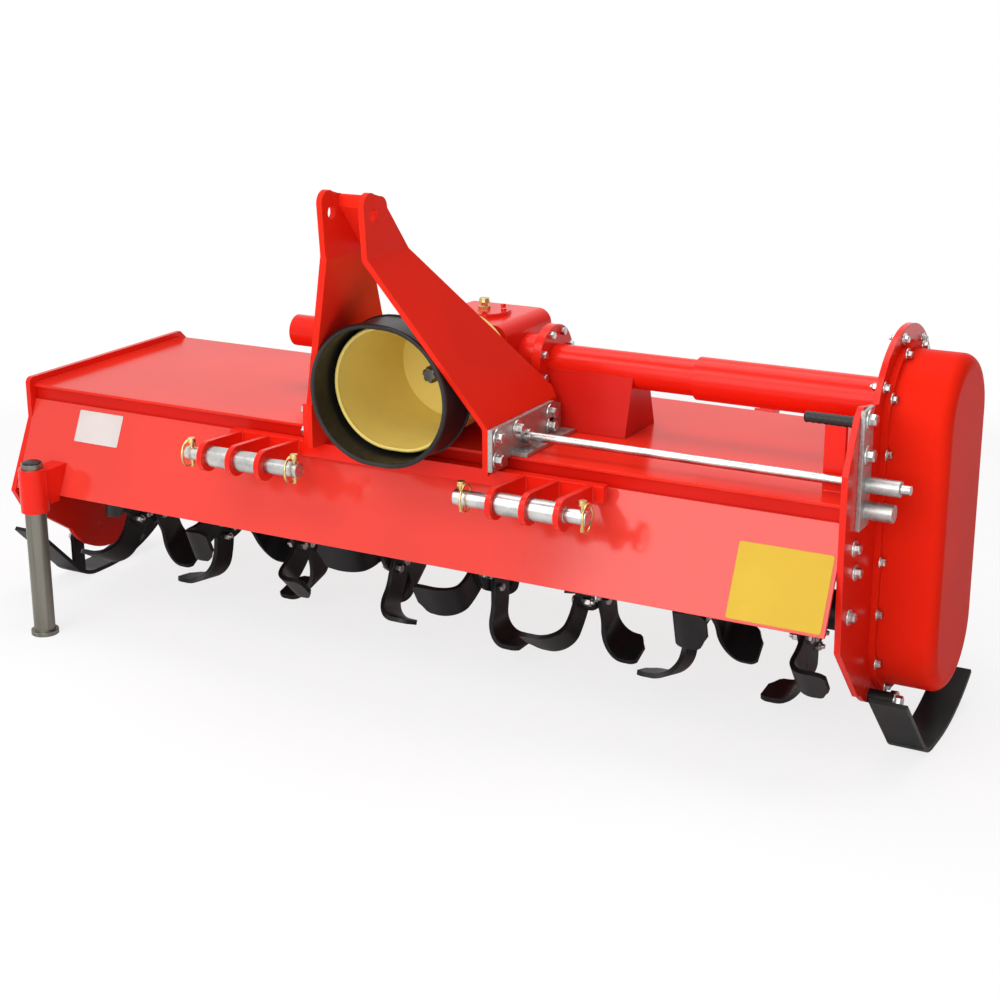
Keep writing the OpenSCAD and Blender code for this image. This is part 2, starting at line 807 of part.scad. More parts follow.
// Gearbox with its bolted flanges and its input hub.
module gearbox() {
    corner = 30;
    neck = cover_hub - 6;
    color(red) difference() {
        union() {
            along_y(-gearbox_deep, 2 * gearbox_deep) {
                span(-gearbox_half, drive_height - 60, gearbox_half, drive_height + gearbox_rise - corner);
                span(-gearbox_half + corner, drive_height, gearbox_half - corner, drive_height + gearbox_rise);
                for (s = [-1, 1]) translate([s * (gearbox_half - corner), drive_height + gearbox_rise - corner]) circle(corner);
                span(-gearbox_half + 20, sole_z, gearbox_half - 20, drive_height);
                span(-gearbox_half - 30, sole_z, gearbox_half + 30, sole_z + 14);
            }
            bar_x(gearbox_half, x_cover_right - gearbox_half, 0, drive_height, neck);
            bar_x(x_cover_right - cover_thick, cover_thick, 0, drive_height, cover_radius);
            bar_x(x_cover_left, cover_thick, 0, drive_height, cover_radius);
            bar_y(-cup_back, input_hub, 0, drive_height, 62);
        }
        bar_y(-cup_back - 1, 61, 0, drive_height, stub_journal + run_fit);
    }
}

// Web that carries the inner drive tube on the sliding hitch.
module saddle() {
    x0 = gearbox_half + 30;
    color(dark_red) difference() {
        along_x(x0, saddle_end - x0) polygon([
            [-saddle_foot, sole_z], [saddle_foot, sole_z], [tube_radius, drive_height - 6], [-tube_radius, drive_height - 6]
        ]);
        bar_x(x0 - 1, saddle_end, 0, drive_height, tube_radius);
        bar_x(x0 - 1, x_cover_right - x0 + 1, 0, drive_height, cover_radius);
    }
}

// Black bell of the power take-off shield, a little wider than high.
module pto_shield() {
    r = shield_radius;
    back = cup_at(shield_back);
    color(black) difference() {
        translate([0, -shield_front, 0]) along_y(0, shield_length) wide_circle(r);
        translate([0, -shield_front - 1, 0]) along_y(0, shield_length - shield_wall + 1) wide_circle(r - shield_wall);
        translate([0, -shield_front, 0]) along_y(0, shield_length + 1) wide_circle(back);
    }
}

// Circle about the drive axis, drawn out across the machine.
module wide_circle(r) {
    for (s = [-1, 1]) translate([s * shield_spread, drive_height]) circle(r);
    span(-shield_spread, drive_height - r, shield_spread, drive_height + r);
}

// Turned shape about the power take-off axis, drawn out across the machine: the drawing has radius and depth.
module wide_turned(y0) {
    for (s = [0, 1]) mirror([s, 0, 0]) translate([shield_spread, y0, drive_height]) rotate([-90, 0, 0]) rotate([0, 0, -90])
        rotate_extrude(angle = 180) children();
    for (s = [0, 1]) mirror([s, 0, 0]) {
        translate([0, y0, drive_height]) rotate([90, 0, 90]) linear_extrude(shield_spread) rotate(90) mirror([0, 1]) children();
        translate([0, y0, drive_height]) rotate([90, 0, 90]) linear_extrude(shield_spread) rotate(-90) children();
    }
}

// Outer radius of the cup at a distance y ahead of the drive axis.
function cup_at(y) = cup_floor + (cup_radius - cup_floor) * (y + shield_wall - cup_back) / (cup_front - cup_back);

// Yellow cup between the bell and the gearbox.
module pto_cup() {
    depth = cup_front - cup_back;
    hub = stub_journal + 14;
    color(yellow) difference() {
        wide_turned(-cup_front) polygon([
            [cup_radius - shield_wall, 0], [cup_radius, 0], [cup_floor, depth], [0, depth],
            [0, depth - shield_wall], [cup_floor - shield_wall, depth - shield_wall]
        ]);
        bar_y(-cup_front, 2 * depth, 0, drive_height, hub);
    }
}

// Inner drive tube, which slides in the outer one.
module drive_tube_inner() {
    color(red) difference() {
        bar_x(x_cover_right, inner_tube_length, 0, drive_height, tube_radius);
        bar_x(x_cover_right + 6, inner_tube_length, 0, drive_height, tube_radius - tube_wall);
    }
}

// Closed tube on the gearbox's left.
module guard_tube() {
    color(red) {
        bar_x(x_cover_left - guard_length, guard_length, 0, drive_height, tube_radius - 2);
        bar_x(x_cover_left - 16, 16, 0, drive_height, tube_radius + 12);
    }
}

// Shift rod from the right clamp bracket through the right end plate.
module shift_rod() {
    x0 = clamp_inner + clamp_thick;
    length = x_right_out + sleeve_length + rod_free - x0;
    color(steel) {
        bar_x(x0, length, -rod_front, rod_height, rod_radius);
        bar_x(x0, 14, -rod_front, rod_height, rod_radius + 6);
    }
}

// Rotor tube with a journal at each end.
module rotor_shaft() {
    x0 = x_left + 22;
    x1 = x_right - 22;
    color(black) {
        bar_x(x0, x1 - x0, rotor_y, rotor_height, rotor_tube);
        bar_x(x_left_out - bearing_out + 9, x1 - x_left_out + bearing_out - 9, rotor_y, rotor_height, journal);
        bar_x(x1 - 1, x_right_out + 29 - x1, rotor_y, rotor_height, journal);
    }
}

// Profile of a tine across the machine: an upright leg, a bend and a flat blade.
module tine_profile() {
    outer = tine_bend + tine_thick;
    span(0, 50, tine_thick, blade_r - outer);
    span(outer, blade_r - tine_thick, tine_reach, blade_r);
    intersection() {
        translate([outer, blade_r - outer]) difference() {
            circle(outer);
            circle(tine_bend);
        }
        span(0, blade_r - outer, outer, blade_r);
    }
}

// Side outline of a tine: a shank that sweeps back into a sabre blade.
module tine_outline() {
    polygon([
        [-tine_half, 40], [tine_half, 40], [tine_half + 5, 95], [tine_half + 18, 140],
        [tine_sweep - 4, 172], [tine_sweep, tip_radius],
        [-tine_half + 24, tip_radius], [-tine_half + 8, 170], [-tine_half - 2, 110]
    ]);
}

// One tine, standing up from the rotor axis and bent towards +X.
module tine() {
    intersection() {
        along_x(-1, tine_reach + 2) tine_outline();
        along_y(-far / 2, far) tine_profile();
    }
}

// Flange number i with six tines, bent left and right in turn.
module tine_flange(i) {
    x0 = flange_first + (i - 1) * flange_step;
    color(black) translate([x0, rotor_y, rotor_height]) rotate([tine_phase * (i - 1) + rotor_turn, 0, 0]) {
        difference() {
            bar_x(-flange_thick / 2, flange_thick, 0, 0, flange_radius);
            bar_x(-flange_thick, 2 * flange_thick, 0, 0, rotor_tube);
        }
        for (k = [0:2]) {
            rotate([120 * k, 0, 0]) translate([flange_thick / 2 - tine_sink, 0, 0]) tine();
            rotate([120 * k + 60, 0, 0]) translate([-flange_thick / 2 + tine_sink, 0, 0]) mirror([1, 0, 0]) tine();
        }
    }
}

module tine_flange_1() { tine_flange(1); }
module tine_flange_2() { tine_flange(2); }
module tine_flange_3() { tine_flange(3); }
module tine_flange_4() { tine_flange(4); }
module tine_flange_5() { tine_flange(5); }
module tine_flange_6() { tine_flange(6); }
module tine_flange_7() { tine_flange(7); }
module tine_flange_8() { tine_flange(8); }

// Power take-off stub with its thicker journal in the gearbox.
module pto_stub() {
    color(steel) {
        bar_y(-stub_front, stub_front - cup_back, 0, drive_height, stub_radius);
        bar_y(-cup_back - 4, 59, 0, drive_height, stub_journal);
    }
}

// Sliding leg of the stand with its foot.
module stand_leg() {
    color(steel) translate([stand_x, -stand_front, 0]) {
        cylinder(h = foot_thick, r = foot_radius);
        cylinder(h = leg_top, r = leg_radius);
    }
}

// Hinged rear board with its pin, its rolled lip and its two holding straps.
module rear_board() {
    half = hood_width / 2 - board_gap;
    notch = knuckle + 5;
    color(red) translate([-hood_offset, hinge_y, hinge_z]) rotate([board_lean, 0, 0]) {
        difference() {
            along_x(-half, 2 * half) {
                span(-board_thick / 2, -board_length + board_lip, board_thick / 2, 0);
                translate([0, -board_length + board_lip]) circle(board_lip);
            }
            for (x = knuckle_xs) bar_x(x - knuckle_length / 2 - 5, knuckle_length + 10, 0, 0, notch);
        }
        bar_x(-half, 2 * half, 0, 0, hinge_pin);
        for (s = [-1, 1]) along_x(s * strap_place - strap_thick / 2, strap_thick) strap_arc();
        for (s = [-1, 1])
            bar_x(s * strap_place - 24, 48, strap_radius * cos(strap_end), strap_radius * sin(strap_end), strap_pin);
    }
}

// Arc of a holding strap about the hinge, from the board up to its cross pin.
module strap_arc() {
    intersection() {
        difference() {
            circle(strap_radius + strap_width / 2);
            circle(strap_radius - strap_width / 2);
        }
        polygon([[0, 0], [0, -far], [far, -far], [far * cos(strap_end), far * sin(strap_end)]]);
    }
}

// Move the machine so that its box stands centred on the origin.
translate([-(box_left + box_right) / 2, -(box_front + box_rear) / 2, 0]) {
    deck_plate();
    front_panel();
    front_beam();
    rear_skirt();
    end_plate_left();
    end_plate_right();
    chain_case();
    drive_tube_outer();
    rod_guide();
    lever_post();
    lever_grip();
    stand_socket();
    bearing_left();
    skid_left();
    skid_right();
    hitch_crossbar();
    hitch_bracket_left();
    hitch_bracket_right();
    hitch_pin_left();
    hitch_pin_right();
    mast_left();
    mast_right();
    mast_tie();
    clamp_left();
    clamp_right();
    gearbox();
    saddle();
    pto_shield();
    pto_cup();
    drive_tube_inner();
    guard_tube();
    shift_rod();
    rotor_shaft();
    tine_flange_1();
    tine_flange_2();
    tine_flange_3();
    tine_flange_4();
    tine_flange_5();
    tine_flange_6();
    tine_flange_7();
    tine_flange_8();
    pto_stub();
    stand_leg();
    rear_board();
}
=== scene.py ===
# %% [markdown]
# This lesson dresses a tractor rotary tiller that was built as exact solids. The solids arrive as
# a fixed frame in metres and are never moved: this script only paints them and adds what a solid
# model leaves out, such as bolts, welds, pins and stickers.

# %% Load the frame
import math
import random

import bmesh
import bpy
from bmesh.types import BMEdge, BMFace, BMVert
from mathutils import Matrix, Vector


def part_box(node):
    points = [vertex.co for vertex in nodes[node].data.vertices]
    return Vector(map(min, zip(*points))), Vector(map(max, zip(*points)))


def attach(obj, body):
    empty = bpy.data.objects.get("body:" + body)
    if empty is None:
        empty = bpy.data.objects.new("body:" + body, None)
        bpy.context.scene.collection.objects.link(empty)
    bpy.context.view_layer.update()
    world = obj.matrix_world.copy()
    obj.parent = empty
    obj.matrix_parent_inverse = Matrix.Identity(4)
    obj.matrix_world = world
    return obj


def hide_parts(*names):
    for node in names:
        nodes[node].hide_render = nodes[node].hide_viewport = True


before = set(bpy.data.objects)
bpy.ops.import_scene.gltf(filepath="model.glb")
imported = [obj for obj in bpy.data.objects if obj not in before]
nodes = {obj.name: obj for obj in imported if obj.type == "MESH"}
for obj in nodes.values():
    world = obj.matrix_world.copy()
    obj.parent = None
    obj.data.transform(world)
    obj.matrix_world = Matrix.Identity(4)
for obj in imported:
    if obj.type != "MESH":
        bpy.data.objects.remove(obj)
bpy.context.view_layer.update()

# %% [markdown]
# Places on the machine are easiest to say from the power take-off axis, with X = 0 there,
# Y = 0 on the cross drive and Z = 0 on the ground. Both axes are read from solids that lie
# on them, so a change of the solids moves every added piece along.

# %% A maker's frame in millimetres
MM = 0.001
stub_low, stub_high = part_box("pto_stub")
tube_low, tube_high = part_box("drive_tube_outer")
axis_x = (stub_low[0] + stub_high[0]) / 2
axis_y = (tube_low[1] + tube_high[1]) / 2
axis_z = (tube_low[2] + tube_high[2]) / 2
X, Y, Z = Vector((1, 0, 0)), Vector((0, 1, 0)), Vector((0, 0, 1))


def spot(x, y, z):
    """A point in millimetres from the power take-off axis, the cross drive and the ground."""
    return Vector((axis_x + x * MM, axis_y + y * MM, z * MM))


def edges(node):
    """The box of a solid in the maker's millimetres: (x0, y0, z0, x1, y1, z1)."""
    low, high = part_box(node)
    shift = (axis_x, axis_y, 0)
    return [round((v - s) / MM, 3) for corner in (low, high) for v, s in zip(corner, shift)]


drive_z = axis_z / MM
print("drive axis:", [round(v, 4) for v in (axis_x, axis_y, axis_z)])

# %% [markdown]
# The camera stands where the photographer stood: to the front right of the machine, a little
# above it. Its place and turn were worked out from straight edges of the machine. The picture's
# own centre lies a little off the lens axis, so a small shift gives the same framing.

# %% Camera
CAMERA_PLACE = (1895.5, -3364.5, 1570.2)
YAW, PITCH, ROLL = (math.radians(a) for a in (30.3732, 17.1792, -0.6492))
FOCAL_PIXELS, PICTURE, SENSOR = 1854.73, 1000, 36.0
SHIFT_X, SHIFT_Y, FAR_CLIP = 0.0448, -0.0178, 200
level = math.cos(PITCH)
forward = Vector((-math.sin(YAW) * level, math.cos(YAW) * level, -math.sin(PITCH)))
right = Vector((math.cos(YAW), math.sin(YAW), 0))
up = right.cross(forward)
side_axis = right * math.cos(ROLL) + up * math.sin(ROLL)
up_axis = up * math.cos(ROLL) - right * math.sin(ROLL)
lens = bpy.data.cameras.new("camera")
lens.sensor_width = SENSOR
lens.lens = FOCAL_PIXELS * SENSOR / PICTURE
lens.shift_x = SHIFT_X
lens.shift_y = SHIFT_Y
lens.clip_end = FAR_CLIP
camera = bpy.data.objects.new("camera", lens)
bpy.context.collection.objects.link(camera)
turn = Matrix((side_axis, up_axis, -forward)).transposed().to_4x4()
camera.matrix_world = Matrix.Translation(spot(*CAMERA_PLACE)) @ turn
bpy.context.scene.camera = camera
bpy.context.scene.view_settings.view_transform = "Standard"
print("lens:", round(lens.lens, 2), "mm")

# %% [markdown]
# Shader graphs get long, and the maths in them is hard to read as boxes and wires. The small
# class below wraps a socket, so that `1 - mask * 0.3` adds its Math nodes by itself.

# %% Shader maths as expressions
class Wire:
    """A socket of one material, on which plain maths adds Math nodes."""

    def __init__(self, tree, socket=None):
        self.tree, self.socket = tree, socket

    def node(self, kind, settings=None, output=0, **inputs):
        """Any other node. An input goes by its name, with _ for a space, or by i and its number."""
        made = self.tree.nodes.new(kind)
        for name, value in (settings or {}).items():
            setattr(made, name, value)
        for name, value in inputs.items():
            numbered = name[0] == "i" and name[1:].isdigit()
            key = int(name[1:]) if numbered else name.replace("_", " ")
            self.feed(made.inputs[key], value)
        return Wire(self.tree, made.outputs[output])

    def feed(self, socket, value):
        if isinstance(value, Wire):
            self.tree.links.new(value.socket, socket)
        elif isinstance(value, (tuple, list)) and len(value) == 3 and socket.type == "RGBA":
            socket.default_value = (*value, 1)
        else:
            socket.default_value = value

    def maths(self, operation, a, b):
        return self.node("ShaderNodeMath", {"operation": operation}, i0=a, i1=b)

    def __add__(self, other):
        return self.maths("ADD", self, other)

    def __radd__(self, other):
        return self.maths("ADD", other, self)

    def __sub__(self, other):
        return self.maths("SUBTRACT", self, other)

    def __rsub__(self, other):
        return self.maths("SUBTRACT", other, self)

    def __mul__(self, other):
        return self.maths("MULTIPLY", self, other)

    def __rmul__(self, other):
        return self.maths("MULTIPLY", other, self)

    def step(self, low, high):
        """0 below low, 1 above high, and a soft rise between them."""
        settings = {"interpolation_type": "SMOOTHSTEP"}
        return self.node("ShaderNodeMapRange", settings, Value=self, From_Min=low, From_Max=high)

    def mix(self, a, b):
        """Colour a where this value is 0 and colour b where it is 1."""
        return self.node("ShaderNodeMix", {"data_type": "RGBA"}, output=2, i0=self, i6=a, i7=b)


print("maths on wires ready")

# %% [markdown]
# A finish holds one material while it is made. Its textures all start from Object coordinates, so
# they stay on the piece when it moves. Sheet edges on a real machine are never quite sharp: the
# Bevel node rounds them in the light alone, which leaves the exact solids as they are.

# %% Materials under construction
NOISE_ROUGH = 0.55
EDGE_ROUNDING, EDGE_SAMPLES, WEAR_SAMPLES = 0.0018, 6, 4


class Finish:
    """One material with its coordinates, its shader and the usual textures."""

    def __init__(self, name):
        self.material = bpy.data.materials.new(name)
        self.material.use_nodes = True
        self.tree = self.material.node_tree
        self.shader = self.tree.nodes["Principled BSDF"]
        self.pen = Wire(self.tree)
        self.place = self.pen.node("ShaderNodeTexCoord", output="Object")

    def noise(self, scale, detail, stretch=None):
        place = self.place
        if stretch:
            place = self.pen.node("ShaderNodeMapping", Vector=place, Scale=stretch)
        inputs = {"Vector": place, "Scale": scale, "Detail": detail, "Roughness": NOISE_ROUGH}
        return self.pen.node("ShaderNodeTexNoise", **inputs)

    def cells(self, scale, output):
        return self.pen.node("ShaderNodeTexVoronoi", output=output, Vector=self.place, Scale=scale)

    def height(self):
        return self.pen.node("ShaderNodeSeparateXYZ", output="Z", Vector=self.place)

    def edge(self, radius):
        """About 1 along sharp edges and 0 on flats: the rounded normal against the true one."""
        soft = self.pen.node("ShaderNodeBevel", {"samples": WEAR_SAMPLES}, Radius=radius)
        true = self.pen.node("ShaderNodeNewGeometry", output="Normal")
        product = {"operation": "DOT_PRODUCT"}
        same = self.pen.node("ShaderNodeVectorMath", product, output="Value", i0=soft, i1=true)
        return (1 - same).step(0.02, 0.28)

    def bump(self, height, strength, distance):
        """A normal with a fine relief, on edges that are a little rounded."""
        soft = self.pen.node("ShaderNodeBevel", {"samples": EDGE_SAMPLES}, Radius=EDGE_ROUNDING)
        inputs = {"Height": height, "Strength": strength, "Distance": distance, "Normal": soft}
        return self.pen.node("ShaderNodeBump", **inputs)

    def set(self, **sockets):
        for name, value in sockets.items():
            self.pen.feed(self.shader.inputs[name.replace("_", " ")], value)
        return self.material


print("edges rounded by", EDGE_ROUNDING, "m")

# %% [markdown]
# The machine is new and freshly sprayed. Its red is smooth, with a slow change of tone where the
# coat is thicker, and the sheet below it waves a little. Along sharp edges the paint draws thin
# and shows a little paler, and a breath of dust lies low down. The open sheets of the hood were
# sprayed wetter: they shine more, so the bright studio lies over them as a pink haze; on the front
# panel the red is also paler and pinker, a painted reflection of that haze. The front beam and the
# saddle take a darker copy of the red, which is painted shade. The mast and the chain case, which
# are seen at a flat angle, were left duller, the case nearly matt. A clear coat on top would be
# closer to car paint, but it glittered here, so there is none.

# %% Red paint
DUST, THICK_COAT = (0.33, 0.25, 0.19), 0.86


def sprayed(name, colour, pale, rough, shine):
    coat = Finish(name)
    cloud = coat.noise(scale=2.2, detail=2.0)
    speck = coat.noise(scale=38.0, detail=4.0)
    thin = coat.edge(0.0022) * speck.step(0.35, 0.62)
    low = coat.height().step(0.34, 0.05) * coat.noise(scale=7.0, detail=5.0).step(0.42, 0.8)
    tone = cloud.step(0.3, 0.75).mix(colour, tuple(c * THICK_COAT for c in colour))
    tone = (thin * 0.55).mix(tone, pale)
    tone = (low * 0.16).mix(tone, DUST)
    wave = coat.noise(scale=9.0, detail=1.0)
    return coat.set(
        Base_Color=tone,
        Roughness=speck * 0.06 + rough + low * 0.2,
        Normal=coat.bump(wave, strength=0.06, distance=0.002),
        Specular_IOR_Level=shine,
    )


red_paint = sprayed("red_paint", (0.78, 0.014, 0.005), (0.84, 0.09, 0.05), rough=0.20, shine=0.20)
# A darker copy of the red for the front beam and the saddle: painted shade.
painted_shade_red = sprayed("painted_shade_red", (0.60, 0.009, 0.004), (0.68, 0.05, 0.03), rough=0.28, shine=0.12)
# The panel's paler, pinker red is a painted reflection of the studio's haze, over its real gloss.
panel_red_painted_haze = sprayed("panel_red_painted_haze", (0.76, 0.045, 0.030), (0.82, 0.15, 0.11), rough=0.10, shine=0.40)
deck_paint = sprayed("deck_paint", (0.80, 0.026, 0.012), (0.84, 0.12, 0.09), rough=0.17, shine=0.12)
dull_paint = sprayed("dull_paint", (0.80, 0.022, 0.009), (0.84, 0.08, 0.04), rough=0.34, shine=0.05)
case_paint = sprayed("case_paint", (0.80, 0.018, 0.006), (0.84, 0.08, 0.04), rough=0.30, shine=0.012)
print("paints:", red_paint.name, painted_shade_red.name, panel_red_painted_haze.name, deck_paint.name, dull_paint.name)

# %% [markdown]
# Tines and skids are dipped in black and left with a satin skin. The dip runs a little, so the
# gloss changes in soft streaks, and corners that have been handled show a grey edge.

# %% Black dip
def dipped(name, colour, worn, rough, shine):
    skin = Finish(name)
    streak = skin.noise(scale=9.0, detail=4.0, stretch=(1.0, 1.0, 0.35))
    grit = skin.noise(scale=160.0, detail=3.0)
    rub = skin.edge(0.0025) * grit.step(0.40, 0.60)
    tone = streak.step(0.3, 0.75).mix(colour, tuple(c * 1.7 for c in colour))
    tone = (rub * 0.6).mix(tone, worn)
    return skin.set(
        Base_Color=tone,
        Roughness=rough + streak * 0.18 - rub * 0.05,
        Normal=skin.bump(grit, strength=0.16, distance=0.0008),
        Specular_IOR_Level=shine,
    )


black_dip = dipped("black_dip", (0.006, 0.006, 0.0065), (0.10, 0.095, 0.09), rough=0.30, shine=0.28)
skid_dip = dipped("skid_dip", (0.007, 0.006, 0.006), (0.11, 0.10, 0.09), rough=0.32, shine=0.16)
print("dips:", black_dip.name, skid_dip.name)

# %% [markdown]
# Hot-dip zinc freezes in crystals, called spangle. Voronoi cells give each crystal its own grey
# and its own gloss. The small bright parts are plated instead, which is smoother and cleaner.
# The leg of the stand is a drawn tube: the die leaves long streaks along it.

# %% Zinc, bright steel and brassy plating
def spangled(name, dark, light, scale):
    zinc = Finish(name)
    crystal = zinc.cells(scale, output="Color")
    grey = zinc.pen.node("ShaderNodeSeparateColor", output="Red", Color=crystal)
    haze = zinc.noise(scale=14.0, detail=4.0)
    scratch = zinc.noise(scale=60.0, detail=3.0, stretch=(0.15, 1.0, 4.0))
    return zinc.set(
        Base_Color=(grey * 0.65 + haze * 0.35).mix(dark, light),
        Metallic=0.9,
        Roughness=grey * 0.16 + haze * 0.16 + 0.24,
        Normal=zinc.bump(scratch, strength=0.10, distance=0.0006),
    )


def plated(name, dark, light, rough):
    plate = Finish(name)
    cloud = plate.noise(scale=24.0, detail=4.0)
    turned = plate.noise(scale=300.0, detail=2.0, stretch=(1.0, 0.06, 0.06))
    return plate.set(
        Base_Color=cloud.step(0.3, 0.7).mix(dark, light),
        Metallic=1.0,
        Roughness=cloud * 0.16 + rough,
        Normal=plate.bump(turned, strength=0.12, distance=0.0004),
    )


def drawn(name, dark, light, rough):
    tube = Finish(name)
    streak = tube.noise(scale=90.0, detail=4.0, stretch=(1.0, 1.0, 0.02))
    cloud = tube.noise(scale=5.0, detail=3.0)
    return tube.set(
        Base_Color=(streak.step(0.3, 0.7) * 0.6 + cloud * 0.4).mix(dark, light),
        Metallic=0.85,
        Roughness=streak * 0.14 + rough,
        Normal=tube.bump(streak, strength=0.08, distance=0.0005),
    )


zinc_skin = spangled("zinc_skin", (0.34, 0.34, 0.33), (0.52, 0.515, 0.50), scale=240.0)
drawn_tube = drawn("drawn_tube", (0.13, 0.125, 0.105), (0.27, 0.26, 0.22), rough=0.28)
bright_steel = plated("bright_steel", (0.42, 0.415, 0.40), (0.66, 0.65, 0.63), rough=0.20)
# The stub's oiled steel is kept dark: its darkness is partly painted shade, for the stub sits inside
# the shield.
oiled_steel = plated("oiled_steel", (0.10, 0.095, 0.09), (0.22, 0.21, 0.20), rough=0.26)
bolt_zinc = plated("bolt_zinc", (0.42, 0.41, 0.40), (0.70, 0.69, 0.67), rough=0.22)
brass_plate = plated("brass_plate", (0.55, 0.38, 0.14), (0.80, 0.62, 0.28), rough=0.20)
print("metals:", zinc_skin.name, drawn_tube.name, bright_steel.name, bolt_zinc.name)

# %% [markdown]
# The guards are moulded plastic. The bell is soft black with a fine leathery grain, which small
# Voronoi cells give. The cup behind it is a dull mustard yellow, dusty where hands do not reach.
# Stickers are a plastic too, with a grain too fine to see.

# %% Plastics and stickers
PLASTIC_SHINE, STICKER_SHINE = 0.5, 0.2
PLASTIC_GRAIN, STICKER_GRAIN = 380.0, 900.0


def moulded(name, colour, dusty, rough, shine=PLASTIC_SHINE, grain=PLASTIC_GRAIN):
    plastic = Finish(name)
    skin = plastic.cells(grain, output="Distance")
    cloud = plastic.noise(scale=6.0, detail=4.0)
    return plastic.set(
        Base_Color=cloud.step(0.40, 0.78).mix(colour, dusty),
        Roughness=cloud * 0.14 + rough,
        Normal=plastic.bump(skin, strength=0.10, distance=0.0005),
        Specular_IOR_Level=shine,
    )


def printed(name, colour, faded, rough):
    return moulded(name, colour, faded, rough, STICKER_SHINE, STICKER_GRAIN)


black_plastic = moulded("black_plastic", (0.010, 0.009, 0.009), (0.026, 0.024, 0.023), 0.34, shine=0.32)
yellow_plastic = moulded("yellow_plastic", (0.82, 0.64, 0.16), (0.74, 0.58, 0.16), rough=0.40)
yellow_sticker = printed("yellow_sticker", (0.60, 0.38, 0.020), (0.64, 0.42, 0.030), rough=0.30)
white_sticker = printed("white_sticker", (0.60, 0.53, 0.51), (0.66, 0.60, 0.58), rough=0.34)
print("plastics:", black_plastic.name, yellow_plastic.name, yellow_sticker.name)

# %% [markdown]
# Each solid takes one of these finishes. The list says which group of solids is sprayed,
# dipped, galvanised or moulded on the real machine. All others are in the main red.

# %% Paint the solids
FLANGE_NUMBERS = range(1, 9)
FINISHES = (
    # The darker red on the front beam and the saddle is painted shade; the panel's pinker red is
    # painted reflection.
    (painted_shade_red, ["front_beam", "saddle"]),
    (panel_red_painted_haze, ["front_panel"]),
    (deck_paint, ["deck_plate"]),
    (dull_paint, ["mast_left", "mast_right", "mast_tie"]),
    (case_paint, ["chain_case"]),
    (black_dip, ["rotor_shaft", *(f"tine_flange_{number}" for number in FLANGE_NUMBERS)]),
    (skid_dip, ["skid_left", "skid_right"]),
    (zinc_skin, ["clamp_right", "rod_guide"]),
    (drawn_tube, ["stand_leg"]),
    (bright_steel, ["hitch_pin_left", "hitch_pin_right", "shift_rod"]),
    # The stub's dark steel is partly painted shade.
    (oiled_steel, ["pto_stub"]),
    (black_plastic, ["pto_shield", "lever_grip"]),
    (yellow_plastic, ["pto_cup"]),
)
chosen = {node: finish for finish, group in FINISHES for node in group}
for name, solid in nodes.items():
    solid.data.materials.clear()
    solid.data.materials.append(chosen.get(name, red_paint))
print("painted:", len(nodes), "solids,", len(nodes) - len(chosen), "of them in the main red")

# %% [markdown]
# The machine stands in a white studio whose right-hand side is darker, so faces turned that way
# keep their depth. An image of a studio could light it too; a plain background whose strength
# depends on the direction needs no file. Camera rays see it fully white.

# %% White background
BACK_STRENGTH, FILL_STRENGTH = 1.0, 0.52
SHADE_SIDE, SHADE_GLOSS = 0.6, 0.65
WHITE = (1.0, 1.0, 1.0)


def ray(pen, kind):
    """1 for rays of one kind, else 0."""
    return pen.node("ShaderNodeLightPath", output=kind)


world = bpy.data.worlds.new("studio")
bpy.context.scene.world = world
world.use_nodes = True
back = world.node_tree.nodes["Background"]
pen = Wire(world.node_tree)
pen.feed(back.inputs["Color"], WHITE)
way = pen.node("ShaderNodeTexCoord", output="Generated")
sideways = pen.node("ShaderNodeSeparateXYZ", output="X", Vector=way)
fill = (1 - sideways.step(0.05, 0.75) * SHADE_SIDE) * FILL_STRENGTH
shine = (1 - sideways.step(-0.1, 0.5) * SHADE_GLOSS) * BACK_STRENGTH
gloss = ray(pen, "Is Glossy Ray")
seen = pen.maths("MINIMUM", ray(pen, "Is Camera Ray") + ray(pen, "Is Transmission Ray"), 1.0)
unseen = shine * gloss + fill * (1 - gloss)
pen.feed(back.inputs["Strength"], seen * BACK_STRENGTH + unseen * (1 - seen))
print("background:", world.name)

# %% [markdown]
# The floor is plain and pale. Near the machine it takes the shadow; far away it fades into the
# white background, for the camera and for what shows in gloss, so no horizon is seen.

# %% Pale floor
FLOOR_TONE, FLOOR_LIFT, FLOOR_ROUGH = 0.92, 0.78, 0.9
FADE_FROM, FADE_TO = 1.3, 2.8
FLOOR_HALF, FLOOR_CELLS = 60, 8

bm = bmesh.new()
bmesh.ops.create_grid(bm, x_segments=FLOOR_CELLS, y_segments=FLOOR_CELLS, size=FLOOR_HALF)
mesh = bpy.data.meshes.new("floor")
bm.to_mesh(mesh)
bm.free()
floor = bpy.data.objects.new("floor", mesh)
bpy.context.collection.objects.link(floor)
ground = Finish("floor_tone")
ground.set(Base_Color=(FLOOR_TONE,) * 3, Roughness=FLOOR_ROUGH, Specular_IOR_Level=0.0)
pen = ground.pen
away = pen.node("ShaderNodeVectorMath", {"operation": "LENGTH"}, output="Value", i0=ground.place)
camera_ray = ray(pen, "Is Camera Ray")
mirrored = ray(pen, "Is Glossy Ray") + ray(pen, "Is Transmission Ray")
seen = pen.maths("MINIMUM", camera_ray + mirrored, 1.0)
far = pen.maths("MAXIMUM", away.step(FADE_FROM, FADE_TO) * seen, camera_ray * FLOOR_LIFT)
glow = pen.node("ShaderNodeEmission", Color=WHITE, Strength=1.0)
surface = Wire(ground.tree, ground.shader.outputs[0])
blend = pen.node("ShaderNodeMixShader", i0=far, i1=surface, i2=glow)
pen.feed(ground.tree.nodes["Material Output"].inputs["Surface"], blend)
mesh.materials.append(ground.material)
print("floor fades from", FADE_FROM, "to", FADE_TO, "m")

# %% [markdown]
# Three soft boxes light the machine: a wide one in front, which shapes the sheets, a smaller one
# from the upper left, and one overhead. Area lamps were chosen since their shadows are soft.

